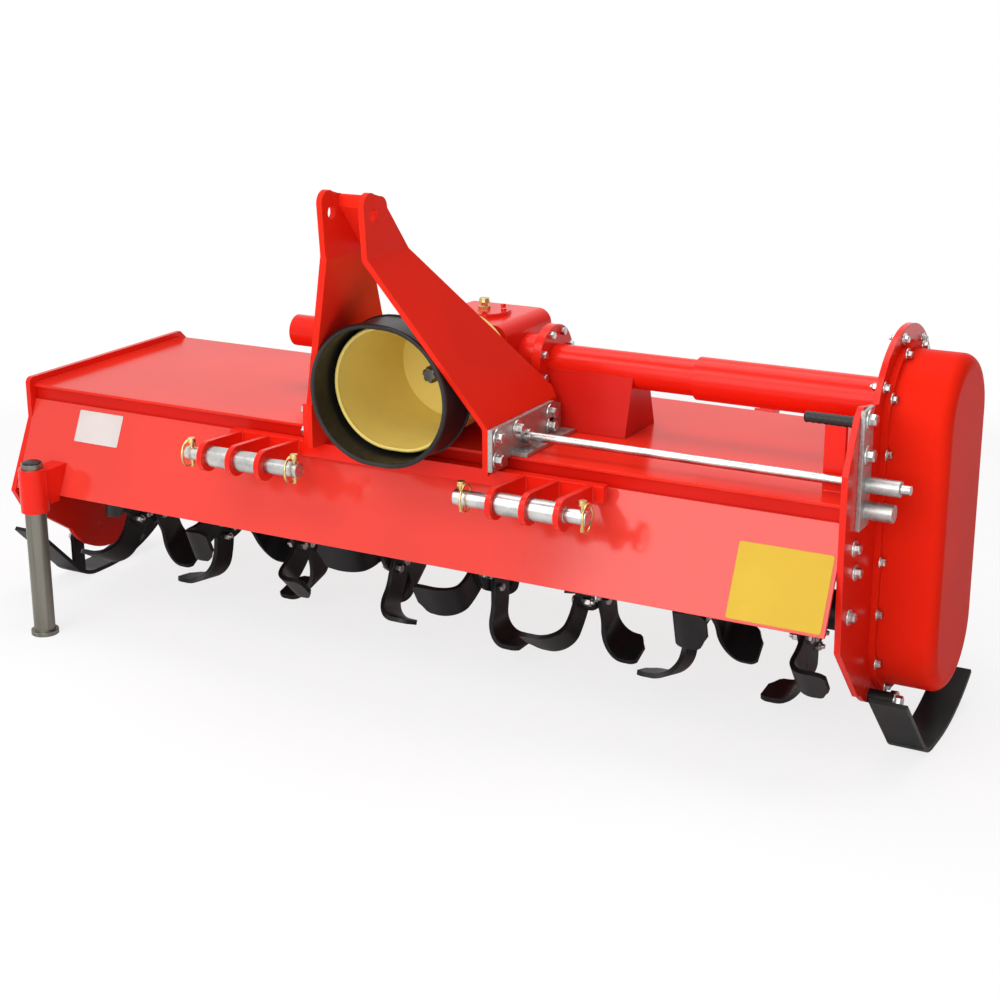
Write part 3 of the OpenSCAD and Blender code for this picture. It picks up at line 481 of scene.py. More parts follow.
# %% Lamps
def soft_lamp(name, place, target, size, power):
    lamp = bpy.data.lights.new(name, "AREA")
    lamp.shape = "RECTANGLE"
    lamp.size, lamp.size_y = size
    lamp.energy = power
    holder = bpy.data.objects.new(name, lamp)
    aim = (Vector(target) - Vector(place)).to_track_quat("-Z", "Y").to_matrix().to_4x4()
    holder.matrix_world = Matrix.Translation(place) @ aim
    bpy.context.collection.objects.link(holder)
    print("lamp:", name, power, "W")


soft_lamp("front", place=(0.6, -4.2, 2.0), target=(0, 0, 0.5), size=(4.6, 2.4), power=116)
soft_lamp("key", place=(-1.2, -3.0, 4.0), target=(0, 0, 0.4), size=(2.6, 1.6), power=55)
soft_lamp("top", place=(0.2, 0.6, 4.0), target=(0, 0, 0.3), size=(3.5, 2.5), power=70)

# %% [markdown]
# Every added piece is drawn in a bmesh, given its finish, and set to ride on the body that
# carries it on the real machine. Modifiers on ready-made shapes would do too, but operators on
# a bmesh leave one plain mesh. Small parts of one kind on the same body share one mesh.

# %% Helper: finish a piece
SMOOTH_BELOW = math.radians(38)


def turned_to(direction, place):
    """A transform that puts a shape drawn along +Z at a place, along a direction."""
    return Matrix.Translation(place) @ Vector(direction).to_track_quat("Z", "Y").to_matrix().to_4x4()


def finish_piece(name, bm, finish, body):
    bmesh.ops.recalc_face_normals(bm, faces=bm.faces)
    for face in bm.faces:
        face.smooth = True
    for edge in bm.edges:
        edge.smooth = edge.calc_face_angle(math.pi) < SMOOTH_BELOW
    mesh = bpy.data.meshes.new(name)
    bm.to_mesh(mesh)
    bm.free()
    mesh.materials.append(finish)
    piece = bpy.data.objects.new(name, mesh)
    bpy.context.collection.objects.link(piece)
    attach(piece, body)
    triangles = sum(len(p.vertices) - 2 for p in mesh.polygons)
    print(f"{name}: {triangles} triangles on {body}")
    return piece


print("smooth below", round(math.degrees(SMOOTH_BELOW)), "degrees")

# %% [markdown]
# Most small parts are turned or drawn out: cones stacked along an axis, or a ring of edges that is
# extruded again and again. These helpers hold those two ways, and pick out what an operator made.

# %% Helpers: cones and rings of edges
def kind_of(geometry, kind):
    """The vertices, edges or faces among what an operator returned."""
    return [g for g in geometry if isinstance(g, kind)]


def rim_of(ring):
    """The edges that meet in the vertices of a fresh ring."""
    return list({e for v in ring for e in v.link_edges})


def next_ring(bm, rim):
    """Draws a rim out by one ring; returns the new vertices and the new rim."""
    grown = bmesh.ops.extrude_edge_only(bm, edges=rim)["geom"]
    ring = kind_of(grown, BMVert)
    held = set(ring)
    return ring, [e for e in kind_of(grown, BMEdge) if held.issuperset(e.verts)]


def lifted(height):
    return Matrix.Translation((0, 0, height))


def add_cone(bm, low, high, depth, segments, place):
    """A cone or disc along +Z from the origin, moved by a transform."""
    sizes = {"radius1": low, "radius2": high, "depth": depth}
    made = bmesh.ops.create_cone(bm, cap_ends=True, segments=segments, **sizes)
    bmesh.ops.translate(bm, verts=made["verts"], vec=(0, 0, depth / 2))
    bmesh.ops.transform(bm, verts=made["verts"], matrix=place)


def turned_bar(bm, steps, sides, place):
    """A bar along +Z drawn out ring by ring; each step is (run, radius) in millimetres."""
    radius = steps[0][1]
    ring = bmesh.ops.create_circle(bm, cap_ends=True, segments=sides, radius=radius * MM)["verts"]
    every = list(ring)
    rim = rim_of(ring)
    for run, wanted in steps[1:]:
        ring, rim = next_ring(bm, rim)
        bmesh.ops.translate(bm, verts=ring, vec=(0, 0, run * MM))
        bmesh.ops.scale(bm, verts=ring, vec=(wanted / radius, wanted / radius, 1))
        every += ring
        radius = wanted
    bmesh.ops.contextual_create(bm, geom=rim)
    bmesh.ops.transform(bm, verts=every, matrix=place)


print("cones and rings ready")

# %% [markdown]
# A bolt is a washer, a six-sided head with its corners turned off, and behind a nut a short thread
# tip. It is made from cones that narrow a little at the top, which catches light as a bevel would.
# No two mechanics stop at the same turn, so each head is spun by a seeded random angle.

# %% Bolts
BOLT_SINK, HEAD_SINK = 0.6 * MM, 0.2 * MM
WASHER_FOOT, WASHER_TOP, WASHER_THICK, WASHER_SIDES = 0.98, 0.94, 0.13, 20
HEAD_HIGH, NUT_HIGH, CROWN_HIGH, CROWN_TOP = 0.62, 0.78, 0.2, 0.86
THREAD_FOOT, THREAD_TOP, THREAD_HIGH, THREAD_SIDES = 0.32, 0.28, 0.34, 14


def bolt(bm, place, direction, across, washer=True, nut=False):
    """A hexagon bolt of that width across flats, in millimetres, standing on a face."""
    stand = turned_to(direction, place)
    flat = across * MM
    corner = flat / math.sqrt(3)
    base = 0.0
    if washer:
        base = flat * WASHER_THICK
        sunk = stand @ lifted(-BOLT_SINK)
        add_cone(bm, flat * WASHER_FOOT, flat * WASHER_TOP, base + BOLT_SINK, WASHER_SIDES, sunk)
    head = flat * (NUT_HIGH if nut else HEAD_HIGH)
    flank = head * (1 - CROWN_HIGH)
    spin = Matrix.Rotation(random.uniform(0, math.pi / 3), 4, "Z")
    lift = stand @ spin @ lifted(base - HEAD_SINK)
    add_cone(bm, corner, corner, flank, 6, lift)
    add_cone(bm, corner, corner * CROWN_TOP, head * CROWN_HIGH, 6, lift @ lifted(flank))
    if nut:
        tip = lift @ lifted(head)
        add_cone(bm, flat * THREAD_FOOT, flat * THREAD_TOP, flat * THREAD_HIGH, THREAD_SIDES, tip)


def round_places(count, radius, start=0.0):
    """Evenly spaced points on a circle about 0, 0; the start is in degrees."""
    for k in range(count):
        angle = math.radians(start + 360 * k / count)
        yield radius * math.cos(angle), radius * math.sin(angle)


random.seed(7)
x_plate = edges("end_plate_right")[3]
x_plate_left = edges("end_plate_left")[0]
case = edges("chain_case")
print("right plate face at", x_plate, "mm, case", case)

# %% [markdown]
# The chain case is closed by a ring of bolts through its rim. The rim is a slot shape: two half
# circles and two straight sides. A list of places would do, but walking along that line at an even
# pitch follows the case when its size changes.

# %% Places round the chain case
RIM_THICK, RIM_WIDTH, RIM_BOLTS = 12.0, 14.0, 16
case_half = (case[4] - case[1]) / 2 - RIM_WIDTH
rim_radius = case_half + RIM_WIDTH * 0.5
rim_low = case[2] + RIM_WIDTH + case_half
rim_high = case[5] - RIM_WIDTH - case_half


def along_slot(radius, low, high, count):
    """Evenly spaced points (y, z) on an upright slot shape about y = 0."""
    straight, arc = high - low, math.pi * radius
    for i in range(count):
        way = (i + 0.5) * 2 * (straight + arc) / count
        if way < straight:
            yield -radius, low + way
        elif way < straight + arc:
            angle = (way - straight) / radius
            yield -radius * math.cos(angle), high + radius * math.sin(angle)
        elif way < 2 * straight + arc:
            yield radius, high - (way - straight - arc)
        else:
            angle = (way - 2 * straight - arc) / radius
            yield radius * math.cos(angle), low - radius * math.sin(angle)


print("rim bolts at radius", rim_radius, "mm")

# %% [markdown]
# The end plates carry the case, the guide of the shift rod, the skids and, on the left, the
# rotor's bearing. All their bolts ride on the hood and share one mesh.

# %% Bolts of the chain case and the end plates
PLATE_BOLTS = ((-262, 455), (-272, 325), (-250, 405), (240, 470), (250, 360), (262, 545))
PLATE_THICK, ARCH_DROP, ARCH_RADIUS, ARCH_ANGLES = 12, 176, 158, (32, 78, 124)
GUIDE_THICK, GUIDE_FROM_TOP, GUIDE_FROM_FOOT = 8, 20, 138
SKID_OUT, SKID_BOLTS = 52, ((-120, 112), (150, 165))
ROTOR_Y, ROTOR_Z = -60.0, 250.0
BEARING_THICK, BEARING_BOLTS, BEARING_RADIUS, BEARING_START = 12, 6, 71, 30
bm = bmesh.new()
for y, z in along_slot(rim_radius, rim_low, rim_high, RIM_BOLTS):
    bolt(bm, spot(x_plate + RIM_THICK, y, z), X, 13)
for y, z in PLATE_BOLTS:
    bolt(bm, spot(x_plate, y, z), X, 17)
arch_z = edges("end_plate_right")[5] - ARCH_DROP
for angle in map(math.radians, ARCH_ANGLES):
    y, z = -ARCH_RADIUS * math.cos(angle), arch_z + ARCH_RADIUS * math.sin(angle)
    bolt(bm, spot(x_plate, y, z), X, 13)
    bolt(bm, spot(x_plate - PLATE_THICK, y, z), -X, 13, nut=True)
guide = edges("rod_guide")
guide_middle = (guide[1] + guide[4]) / 2
for z in (guide[5] - GUIDE_FROM_TOP, guide[2] + GUIDE_FROM_FOOT):
    bolt(bm, spot(x_plate + GUIDE_THICK, guide_middle, z), X, 20)
for y, z in SKID_BOLTS:
    bolt(bm, spot(x_plate + SKID_OUT, y, z), X, 19)
    bolt(bm, spot(x_plate_left - SKID_OUT, y, z), -X, 19)
for y, z in round_places(BEARING_BOLTS, BEARING_RADIUS, BEARING_START):
    bolt(bm, spot(x_plate_left - BEARING_THICK, ROTOR_Y + y, ROTOR_Z + z), -X, 15)
finish_piece("hood_bolts", bm, bolt_zinc, "hood")

# %% [markdown]
# The sliding hitch carries its own bolts: through both clamp brackets, round the gearbox covers
# and through the gearbox's feet. They are apart from the hood's, since the hitch slides on it.

# %% Bolts of the sliding hitch
CLAMP_THICK = 10
CLAMP_BOLTS = ((-343, 592), (-345, 548), (-120, 590), (-120, 562), (-262, 590))
COVER_LEFT, COVER_BOLTS, COVER_RADIUS, COVER_START = -128.0, 8, 64.0, 22.5
FOOT_X, FOOT_Y, FOOT_THICK = 122, 78, 14
clamp_x = edges("clamp_right")[0] + CLAMP_THICK
gear = edges("gearbox")
bm = bmesh.new()
for y, z in CLAMP_BOLTS:
    bolt(bm, spot(clamp_x, y, z), X, 19)
    bolt(bm, spot(-clamp_x, y, z), -X, 19)
for y, z in round_places(COVER_BOLTS, COVER_RADIUS, COVER_START):
    bolt(bm, spot(gear[3], y, drive_z + z), X, 15, washer=False)
    bolt(bm, spot(COVER_LEFT, y, drive_z + z), -X, 15, washer=False)
for x in (-FOOT_X, FOOT_X):
    for y in (-FOOT_Y, FOOT_Y):
        bolt(bm, spot(x, y, gear[2] + FOOT_THICK), Z, 19)
finish_piece("hitch_bolts", bm, bolt_zinc, "hitch_carriage")

# %% [markdown]
# A round lid closes the gearbox, and a brassy breather stands in its middle. Both are cones on
# one axis; the breather's foot has six sides for a spanner.

# %% Gearbox lid and breather
LID_FOOT, LID_TOP, LID_HIGH, LID_SINK = 58, 56, 9, 1
LID_BOLTS, LID_BOLT_RADIUS, LID_BOLT_LIFT = 6, 47, 7.5
POST_LIFT = 7
POST_CONES = ((13, 13, 8, 6, 0), (8, 8, 10, 20, 7), (12, 10, 9, 24, 16))
bm = bmesh.new()
lid = turned_to(Z, spot(0, 0, gear[5] - LID_SINK))
add_cone(bm, LID_FOOT * MM, LID_TOP * MM, LID_HIGH * MM, 40, lid)
for x, y in round_places(LID_BOLTS, LID_BOLT_RADIUS):
    bolt(bm, spot(x, y, gear[5] + LID_BOLT_LIFT), Z, 10, washer=False)
finish_piece("gearbox_lid", bm, red_paint, "hitch_carriage")

bm = bmesh.new()
post = turned_to(Z, spot(0, 0, gear[5] + POST_LIFT))
for foot, top, high, sides, lift in POST_CONES:
    add_cone(bm, foot * MM, top * MM, high * MM, sides, post @ lifted(lift * MM))
finish_piece("gearbox_breather", bm, brass_plate, "hitch_carriage")

# %% [markdown]
# Ring-shaped pieces are spun: a small circle is drawn beside an axis and turned round it. A torus
# from the menu would do, but a spun one lies in the same bmesh as the rest. The linch pins on the
# lower hitch pins are a short peg with a head, and such a ring as its spring.

# %% Rings and linch pins
RING_STEPS, RING_SIDES = 36, 10
PEG_DROP, PEG_FOOT, PEG_TOP, PEG_LONG = 28, 4.5, 5.0, 58
KNOB_FOOT, KNOB_TOP, KNOB_HIGH, KNOB_LIFT = 9, 8, 9, 52
SPRING_RADIUS, SPRING_WIRE, SPRING_ASIDE, SPRING_TILT = 27, 2.6, 9, 0.12
PEG_FROM_INNER, PEG_FROM_OUTER = 12, 11


def add_ring(bm, place, direction, radius, wire):
    circle = bmesh.ops.create_circle(bm, segments=RING_SIDES, radius=wire)["verts"]
    stand = Matrix.Translation((radius, 0, 0)) @ Matrix.Rotation(math.pi / 2, 4, "X")
    bmesh.ops.transform(bm, verts=circle, matrix=stand)
    before = set(bm.verts) - set(circle)
    turning = {"cent": (0, 0, 0), "axis": Z, "angle": 2 * math.pi, "steps": RING_STEPS}
    bmesh.ops.spin(bm, geom=[*circle, *rim_of(circle)], use_merge=True, **turning)
    new = [v for v in bm.verts if v not in before]
    bmesh.ops.transform(bm, verts=new, matrix=turned_to(direction, place))


pin = edges("hitch_pin_right")
pin_y, pin_z = (pin[1] + pin[4]) / 2, (pin[2] + pin[5]) / 2
bm = bmesh.new()
for side in (-1, 1):
    for x in (pin[0] + PEG_FROM_INNER, pin[3] - PEG_FROM_OUTER):
        peg = turned_to(Z, spot(side * x, pin_y, pin_z - PEG_DROP))
        add_cone(bm, PEG_FOOT * MM, PEG_TOP * MM, PEG_LONG * MM, 16, peg)
        add_cone(bm, KNOB_FOOT * MM, KNOB_TOP * MM, KNOB_HIGH * MM, 18, peg @ lifted(KNOB_LIFT * MM))
        beside = spot(side * (x + SPRING_ASIDE), pin_y, pin_z)
        add_ring(bm, beside, X + Y * SPRING_TILT, SPRING_RADIUS * MM, SPRING_WIRE * MM)
finish_piece("linch_pins", bm, brass_plate, "hitch_carriage")

# %% [markdown]
# The mouths of the bell and the cup have rolled lips. Their outline is a circle drawn out a little
# across the machine, so each lip is spun in two halves with a straight stretch between them.

# %% Rolled lips of the shield
LIP_SIDES, LIP_STEPS, SEAM = 10, 28, 0.05


def add_lip(bm, y, half_wide, half_high, wire):
    """A round wire along a circle that is drawn out across the machine."""
    spread = half_wide - half_high
    ring = bmesh.ops.create_circle(bm, segments=LIP_SIDES, radius=wire * MM)["verts"]
    bmesh.ops.rotate(bm, verts=ring, matrix=Matrix.Rotation(math.pi / 2, 3, "Y"))
    bmesh.ops.translate(bm, verts=ring, vec=spot(-spread, y, drive_z + half_high))
    rim = rim_of(ring)
    for sign in (1, -1):
        straight = bmesh.ops.extrude_edge_only(bm, edges=rim)["geom"]
        moved = kind_of(straight, BMVert)
        bmesh.ops.translate(bm, verts=moved, vec=(sign * 2 * spread * MM, 0, 0))
        centre = spot(sign * spread, y, drive_z)
        turning = {"cent": centre, "axis": Y, "angle": math.pi, "steps": LIP_STEPS}
        bent = bmesh.ops.spin(bm, geom=[*moved, *kind_of(straight, BMEdge)], **turning)
        rim = kind_of(bent["geom_last"], BMEdge)
    bmesh.ops.remove_doubles(bm, verts=bm.verts, dist=SEAM * MM)


def half_sizes(box):
    return (box[3] - box[0]) / 2, (box[5] - box[2]) / 2


shield, cup = edges("pto_shield"), edges("pto_cup")
bm = bmesh.new()
wide, high = half_sizes(shield)
add_lip(bm, shield[1] + 5, wide - 2, high - 2, wire=5.5)
add_lip(bm, shield[4] - 6, wide + 0.5, high + 0.5, wire=3.0)
finish_piece("shield_lip", bm, black_plastic, "hitch_carriage")

bm = bmesh.new()
wide, high = half_sizes(cup)
add_lip(bm, cup[1] + 3, wide - 2.5, high - 2.5, wire=4.0)
finish_piece("cup_lip", bm, yellow_plastic, "hitch_carriage")

# %% [markdown]
# The end of the power take-off shaft has splines, so that a joint can slide on and turn it.
# Cutting grooves from a bar would need booleans. Instead a circle of points is pushed in and out
# to the cross-section, then drawn out along the shaft, with a ring groove for the joint's locking
# balls and a chamfer at the tip.

# %% Splined stub
stub = edges("pto_stub")
STUB_RADIUS, STUB_ROOT, JOURNAL = 17.5, 14.4, (stub[3] - stub[0]) / 2
SPLINES, STEPS, TOOTH_STEPS, JOURNAL_LAP = 6, 8, 5, 3
# Each stretch is its run in millimetres and how far it narrows.
STRETCHES = ((44, 1.0), (2, 0.86), (7, 0.86), (2, 1.0), (62, 1.0), (5, 0.80))
bm = bmesh.new()
made = bmesh.ops.create_circle(bm, cap_ends=True, segments=SPLINES * STEPS, radius=1.0)
for i, vert in enumerate(made["verts"]):
    vert.co *= (STUB_RADIUS if i % STEPS < TOOTH_STEPS else STUB_ROOT) * MM
face, before = next(iter(bm.faces)), 1.0
for run, swell in STRETCHES:
    made = bmesh.ops.extrude_face_region(bm, geom=[face])["geom"]
    bmesh.ops.delete(bm, geom=[face], context="FACES_ONLY")
    face = kind_of(made, BMFace)[0]
    ring = kind_of(made, BMVert)
    bmesh.ops.translate(bm, verts=ring, vec=(0, 0, run * MM))
    bmesh.ops.scale(bm, verts=ring, vec=(swell / before, swell / before, 1))
    before = swell
splined = sum(run for run, _ in STRETCHES)
root = spot(0, stub[1] + splined, drive_z)
bmesh.ops.transform(bm, verts=bm.verts, matrix=turned_to(-Y, root))
bare = (stub[4] - stub[1] - splined + JOURNAL_LAP) * MM
add_cone(bm, JOURNAL * MM, JOURNAL * MM, bare, 40, turned_to(Y, root - Y * JOURNAL_LAP * MM))
piece = finish_piece("splined_stub", bm, oiled_steel, "pto_stub")
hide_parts("pto_stub")

# %% [markdown]
# Each tine is a flat bar that bends sideways into a broad curved blade, which cuts a slice of soil
# and throws it back. It could be bent with a modifier. Here a grid is laid along the bend, its two
# long edges are drawn as smooth lines, and the sheet is made solid, which keeps the thickness even.

# %% Shape of a tine
TINE_THICK, BEND, REACH, ROOT = 10.0, 52.0, 92.0, 46.0
BLADE = 194.0
BAR_HALF, LEAD_SWEEP, LEAD_TIP, TRAIL_SWEEP, TRAIL_TIP = 32, 24, 30, 42, 8
ACROSS, ALONG = 7, 30


def soft(low, high, value):
    t = min(max((value - low) / (high - low), 0.0), 1.0)
    return t * t * (3 - 2 * t)


def bend_point(way):
    """Sideways reach and radius at a share of the tine's length."""
    straight, arc = BLADE - BEND - ROOT, BEND * math.pi / 2
    total = straight + arc + REACH - TINE_THICK / 2 - BEND
    run = way * total
    if run < straight:
        return TINE_THICK / 2, ROOT + run
    if run < straight + arc:
        a = (run - straight) / BEND
        return TINE_THICK / 2 + BEND * (1 - math.cos(a)), BLADE - BEND + BEND * math.sin(a)
    return TINE_THICK / 2 + BEND + run - straight - arc, BLADE


def tine_sheet():
    """One right-hand tine about the rotor's axis: X sideways, Z outwards, in metres."""
    bm = bmesh.new()
    bmesh.ops.create_grid(bm, x_segments=ALONG, y_segments=ACROSS, size=0.5)
    for vert in bm.verts:
        way, share = vert.co.x + 0.5, vert.co.y + 0.5
        x, z = bend_point(way)
        lead = -BAR_HALF + LEAD_SWEEP * soft(0.25, 0.95, way) + LEAD_TIP * soft(0.88, 1.0, way) ** 2
        trail = BAR_HALF + TRAIL_SWEEP * soft(0.3, 0.86, way) - TRAIL_TIP * soft(0.93, 1.0, way) ** 2
        vert.co = Vector((x, lead + (trail - lead) * share, z)) * MM
    bmesh.ops.recalc_face_normals(bm, faces=bm.faces)
    bmesh.ops.solidify(bm, geom=bm.faces, thickness=TINE_THICK * MM)
    sheet = bpy.data.meshes.new("tine_sheet")
    bm.to_mesh(sheet)
    bm.free()
    low = min(v.co.x for v in sheet.vertices)
    sheet.transform(Matrix.Translation((-low, 0, 0)))
    return sheet


tine = tine_sheet()
print("tine:", len(tine.vertices), "points")

# %% [markdown]
# Six tines sit on each flange, three to either hand, and each flange is turned a little further
# than the last, so that the blades strike one after another.

# %% Tines on their flanges
FLANGE_RADIUS, FLANGE_HALF, TUBE, FLANGE_STEPS = 92.0, 5.0, 40.0, 48
TINE_PHASE, ROTOR_TURN, TINES_EACH = 22.5, -29.5, 6
TINE_SEAT = FLANGE_HALF - 1


def about_x(degrees):
    return Matrix.Rotation(math.radians(degrees), 4, "X")


def add_copy(bm, mesh, place):
    """Adds a mesh to a bmesh and moves only what was added."""
    mark = set(bm.verts)
    bm.from_mesh(mesh)
    bmesh.ops.transform(bm, verts=[v for v in bm.verts if v not in mark], matrix=place)


def tine_set(number):
    node = f"tine_flange_{number}"
    box = edges(node)
    hub = spot((box[0] + box[3]) / 2, ROTOR_Y, ROTOR_Z)
    stand = Matrix.Translation(hub) @ about_x(TINE_PHASE * (number - 1) + ROTOR_TURN)
    bm = bmesh.new()
    out = Matrix.Translation((TINE_SEAT * MM, 0, 0))
    for k in range(TINES_EACH):
        hand = Matrix.Scale(-1 if k % 2 else 1, 4, X)
        add_copy(bm, tine, stand @ about_x(360 / TINES_EACH * k) @ hand @ out)
    profile = bmesh.ops.create_grid(bm, x_segments=1, y_segments=1, size=0.5)["verts"]
    ring = lifted((FLANGE_RADIUS + TUBE) / 2 * MM) @ about_x(90)
    size = Matrix.Diagonal((2 * FLANGE_HALF * MM, (FLANGE_RADIUS - TUBE) * MM, 1, 1))
    bmesh.ops.transform(bm, verts=profile, matrix=stand @ ring @ size)
    around = [*{f for v in profile for f in v.link_faces}, *rim_of(profile)]
    turning = {"cent": hub, "axis": X, "angle": 2 * math.pi, "steps": FLANGE_STEPS}
    bmesh.ops.spin(bm, geom=[*profile, *around], use_merge=True, **turning)
    piece = finish_piece(f"tines_{number}", bm, black_dip, "rotor")
    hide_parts(node)
    return stand


stands = [tine_set(number) for number in FLANGE_NUMBERS]

# %% [markdown]
# Two bolts hold each tine, with their nuts on the other side of the flange. They are set out from
# the same transforms as the tines, so a change of the rotor's turn moves both.

# %% Tine bolts
TINE_BOLTS = ((-12, 62), (12, 80))
bm = bmesh.new()
for stand in stands:
    for k in range(TINES_EACH):
        hand = -1 if k % 2 else 1
        out = stand @ about_x(360 / TINES_EACH * k)
        for across, radius in TINE_BOLTS:
            head = out @ (Vector((hand * (TINE_SEAT + TINE_THICK), across, radius)) * MM)
            back = out @ (Vector((-hand * FLANGE_HALF, across, radius)) * MM)
            bolt(bm, head, X * hand, 17, washer=False)
            bolt(bm, back, X * -hand, 17, washer=False, nut=True)
finish_piece("tine_bolts", bm, bolt_zinc, "rotor")

# %% [markdown]
# Two blank stickers sit on the front panel. They could be painted into the panel's material, but a
# thin plate with round corners has a real edge. Each is laid on the panel's slope.

# %% Stickers
PANEL_TOP_Y, PANEL_TOP_Z = -285.0, 506.0
STICKER_THICK, STICKER_SINK, STICKER_CORNERS = 0.9, 0.2, 5
panel = edges("front_panel")
slope = Vector((0, PANEL_TOP_Y - panel[1], PANEL_TOP_Z - panel[2])).normalized()
outward = X.cross(slope)


def panel_spot(x, z):
    share = (PANEL_TOP_Z - z) / (PANEL_TOP_Z - panel[2])
    return spot(x, PANEL_TOP_Y + (panel[1] - PANEL_TOP_Y) * share, z)


def add_plate(bm, wide, tall, corner, segments, thick):
    """A plate on the XY plane with round corners; returns what was drawn out along Z."""
    made = bmesh.ops.create_grid(bm, x_segments=1, y_segments=1, size=0.5)
    bmesh.ops.scale(bm, verts=made["verts"], vec=(wide, tall, 1))
    rounding = {"offset": corner, "segments": segments, "profile": 0.5, "affect": "VERTICES"}
    bmesh.ops.bevel(bm, geom=bm.verts[:], material=-1, **rounding)
    pushed = bmesh.ops.extrude_face_region(bm, geom=bm.faces[:])["geom"]
    bmesh.ops.translate(bm, verts=kind_of(pushed, BMVert), vec=(0, 0, thick))
    return pushed


def sticker(name, finish, low, high, corner):
    bm = bmesh.new()
    wide = (high[0] - low[0]) * MM
    tall = (panel_spot(0, high[1]) - panel_spot(0, low[1])).length
    add_plate(bm, wide, tall, corner * MM, STICKER_CORNERS, STICKER_THICK * MM)
    middle = panel_spot((low[0] + high[0]) / 2, (low[1] + high[1]) / 2)
    laid = Matrix((X, slope, outward)).transposed().to_4x4()
    place = Matrix.Translation(middle - outward * STICKER_SINK * MM) @ laid
    bmesh.ops.transform(bm, verts=bm.verts, matrix=place)
    finish_piece(name, bm, finish, "hood")


sticker("panel_sticker_yellow", yellow_sticker, (712, 320), (895, 452), corner=5)
sticker("panel_sticker_white", white_sticker, (-886, 431), (-762, 497), corner=3)

# %% [markdown]
# The handle of the side-shift lock is a plastic grip with ridges for the hand and round ends. A
# circle is drawn out ring by ring, each ring a little wider or narrower than the last.

# %% Lock handle
GRIP_ROUND, GRIP_ENDS, GRIP_WAIST = 6.0, 14, 0.9
ROUND_STEPS = (0.3, 1.2, 2.6, 4.2, GRIP_ROUND)
grip = edges("lever_grip")
grip_radius = (grip[4] - grip[1]) / 2
grip_y, grip_z = (grip[1] + grip[4]) / 2, (grip[2] + grip[5]) / 2
span = grip[3] - grip[0]
dome = [(r, grip_radius * math.sqrt(1 - (1 - r / GRIP_ROUND) ** 2)) for r in ROUND_STEPS]
opening = [(0, dome[0][1])] + [(b[0] - a[0], b[1]) for a, b in zip(dome, dome[1:])]
closing = [(a[0] - b[0], b[1]) for a, b in zip(dome[::-1], dome[-2::-1])]
ridge = [(4, grip_radius * GRIP_WAIST), (5, grip_radius * GRIP_WAIST), (3, grip_radius)]
pitch = sum(run for run, _ in ridge)
count = int((span - GRIP_ENDS) // pitch)
rest = span - 2 * (GRIP_ROUND - ROUND_STEPS[0]) - pitch * count
bm = bmesh.new()
rings = opening + ridge * count + [(rest, grip_radius)] + closing
turned_bar(bm, rings, 28, turned_to(X, spot(grip[0], grip_y, grip_z)))
piece = finish_piece("lock_handle", bm, black_plastic, "hood")
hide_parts("lever_grip")

# %% [markdown]
# Welds hold the sheets and brackets together. A bead could be a bump in the paint, but then its
# outline would stay straight. Here it is a small round bar whose thickness swells and shrinks with
# every drop of metal, laid along the corner between two faces.

# %% Weld beads
DROP, NECK, BEAD_SIDES, BEAD_STEPS = 7.0, (0.78, 0.88), 7, 4


def weld(bm, start, end, size):
    """A bead along a line in the maker's millimetres."""
    start, end = spot(*start), spot(*end)
    steps = max(BEAD_STEPS, int((end - start).length / (DROP * MM * 0.5)))
    ring = bmesh.ops.create_circle(bm, cap_ends=True, segments=BEAD_SIDES, radius=size * MM)["verts"]
    bmesh.ops.transform(bm, verts=ring, matrix=turned_to(end - start, start))
    rim = rim_of(ring)
    swell = 1.0
    for i in range(1, steps + 1):
        ring, rim = next_ring(bm, rim)
        bmesh.ops.translate(bm, verts=ring, vec=(end - start) / steps)
        wanted = 1.0 if i % 2 else random.uniform(*NECK)
        to_middle = Matrix.Translation(-start.lerp(end, i / steps))
        bmesh.ops.scale(bm, verts=ring, vec=(wanted / swell,) * 3, space=to_middle)
        swell = wanted
    bmesh.ops.contextual_create(bm, geom=rim)


deck, leg, post = edges("deck_plate"), edges("stand_leg"), edges("lever_post")
leg_x, leg_y = (leg[0] + leg[3]) / 2, (leg[1] + leg[4]) / 2
SOCKET_HALF, SOCKET_TOP, SOCKET_FOOT = 22, (-332, 386), (-365, 316)
bm = bmesh.new()
for x in (deck[0], deck[3]):
    weld(bm, (x, deck[1] + 6, deck[5]), (x, deck[4] - 4, deck[5]), 4.0)
for x in (leg_x - SOCKET_HALF, leg_x + SOCKET_HALF):
    weld(bm, (x, *SOCKET_TOP), (x, *SOCKET_FOOT), 3.4)
for y in (post[1], post[4]):
    weld(bm, (post[0] + 2, y, post[2]), (post[3] - 2, y, post[2]), 3.2)
finish_piece("hood_welds", bm, red_paint, "hood")

EAR_PLACES, EAR_HALF = (268, 340, 412), 6
cross = edges("hitch_crossbar")
bm = bmesh.new()
for side in (-1, 1):
    for ear in EAR_PLACES:
        for x in (side * ear - EAR_HALF, side * ear + EAR_HALF):
            weld(bm, (x, cross[1], cross[2] + 2), (x, cross[1], cross[5] - 2), 3.4)
finish_piece("hitch_welds", bm, red_paint, "hitch_carriage")

# %% [markdown]
# The board behind the rotor would drum if it were flat. Upright ribs are pressed into it: each is
# a long round-ended outline, drawn out of the sheet in steps so that its shoulder is soft. A bump
# in the paint would look flat from the side.

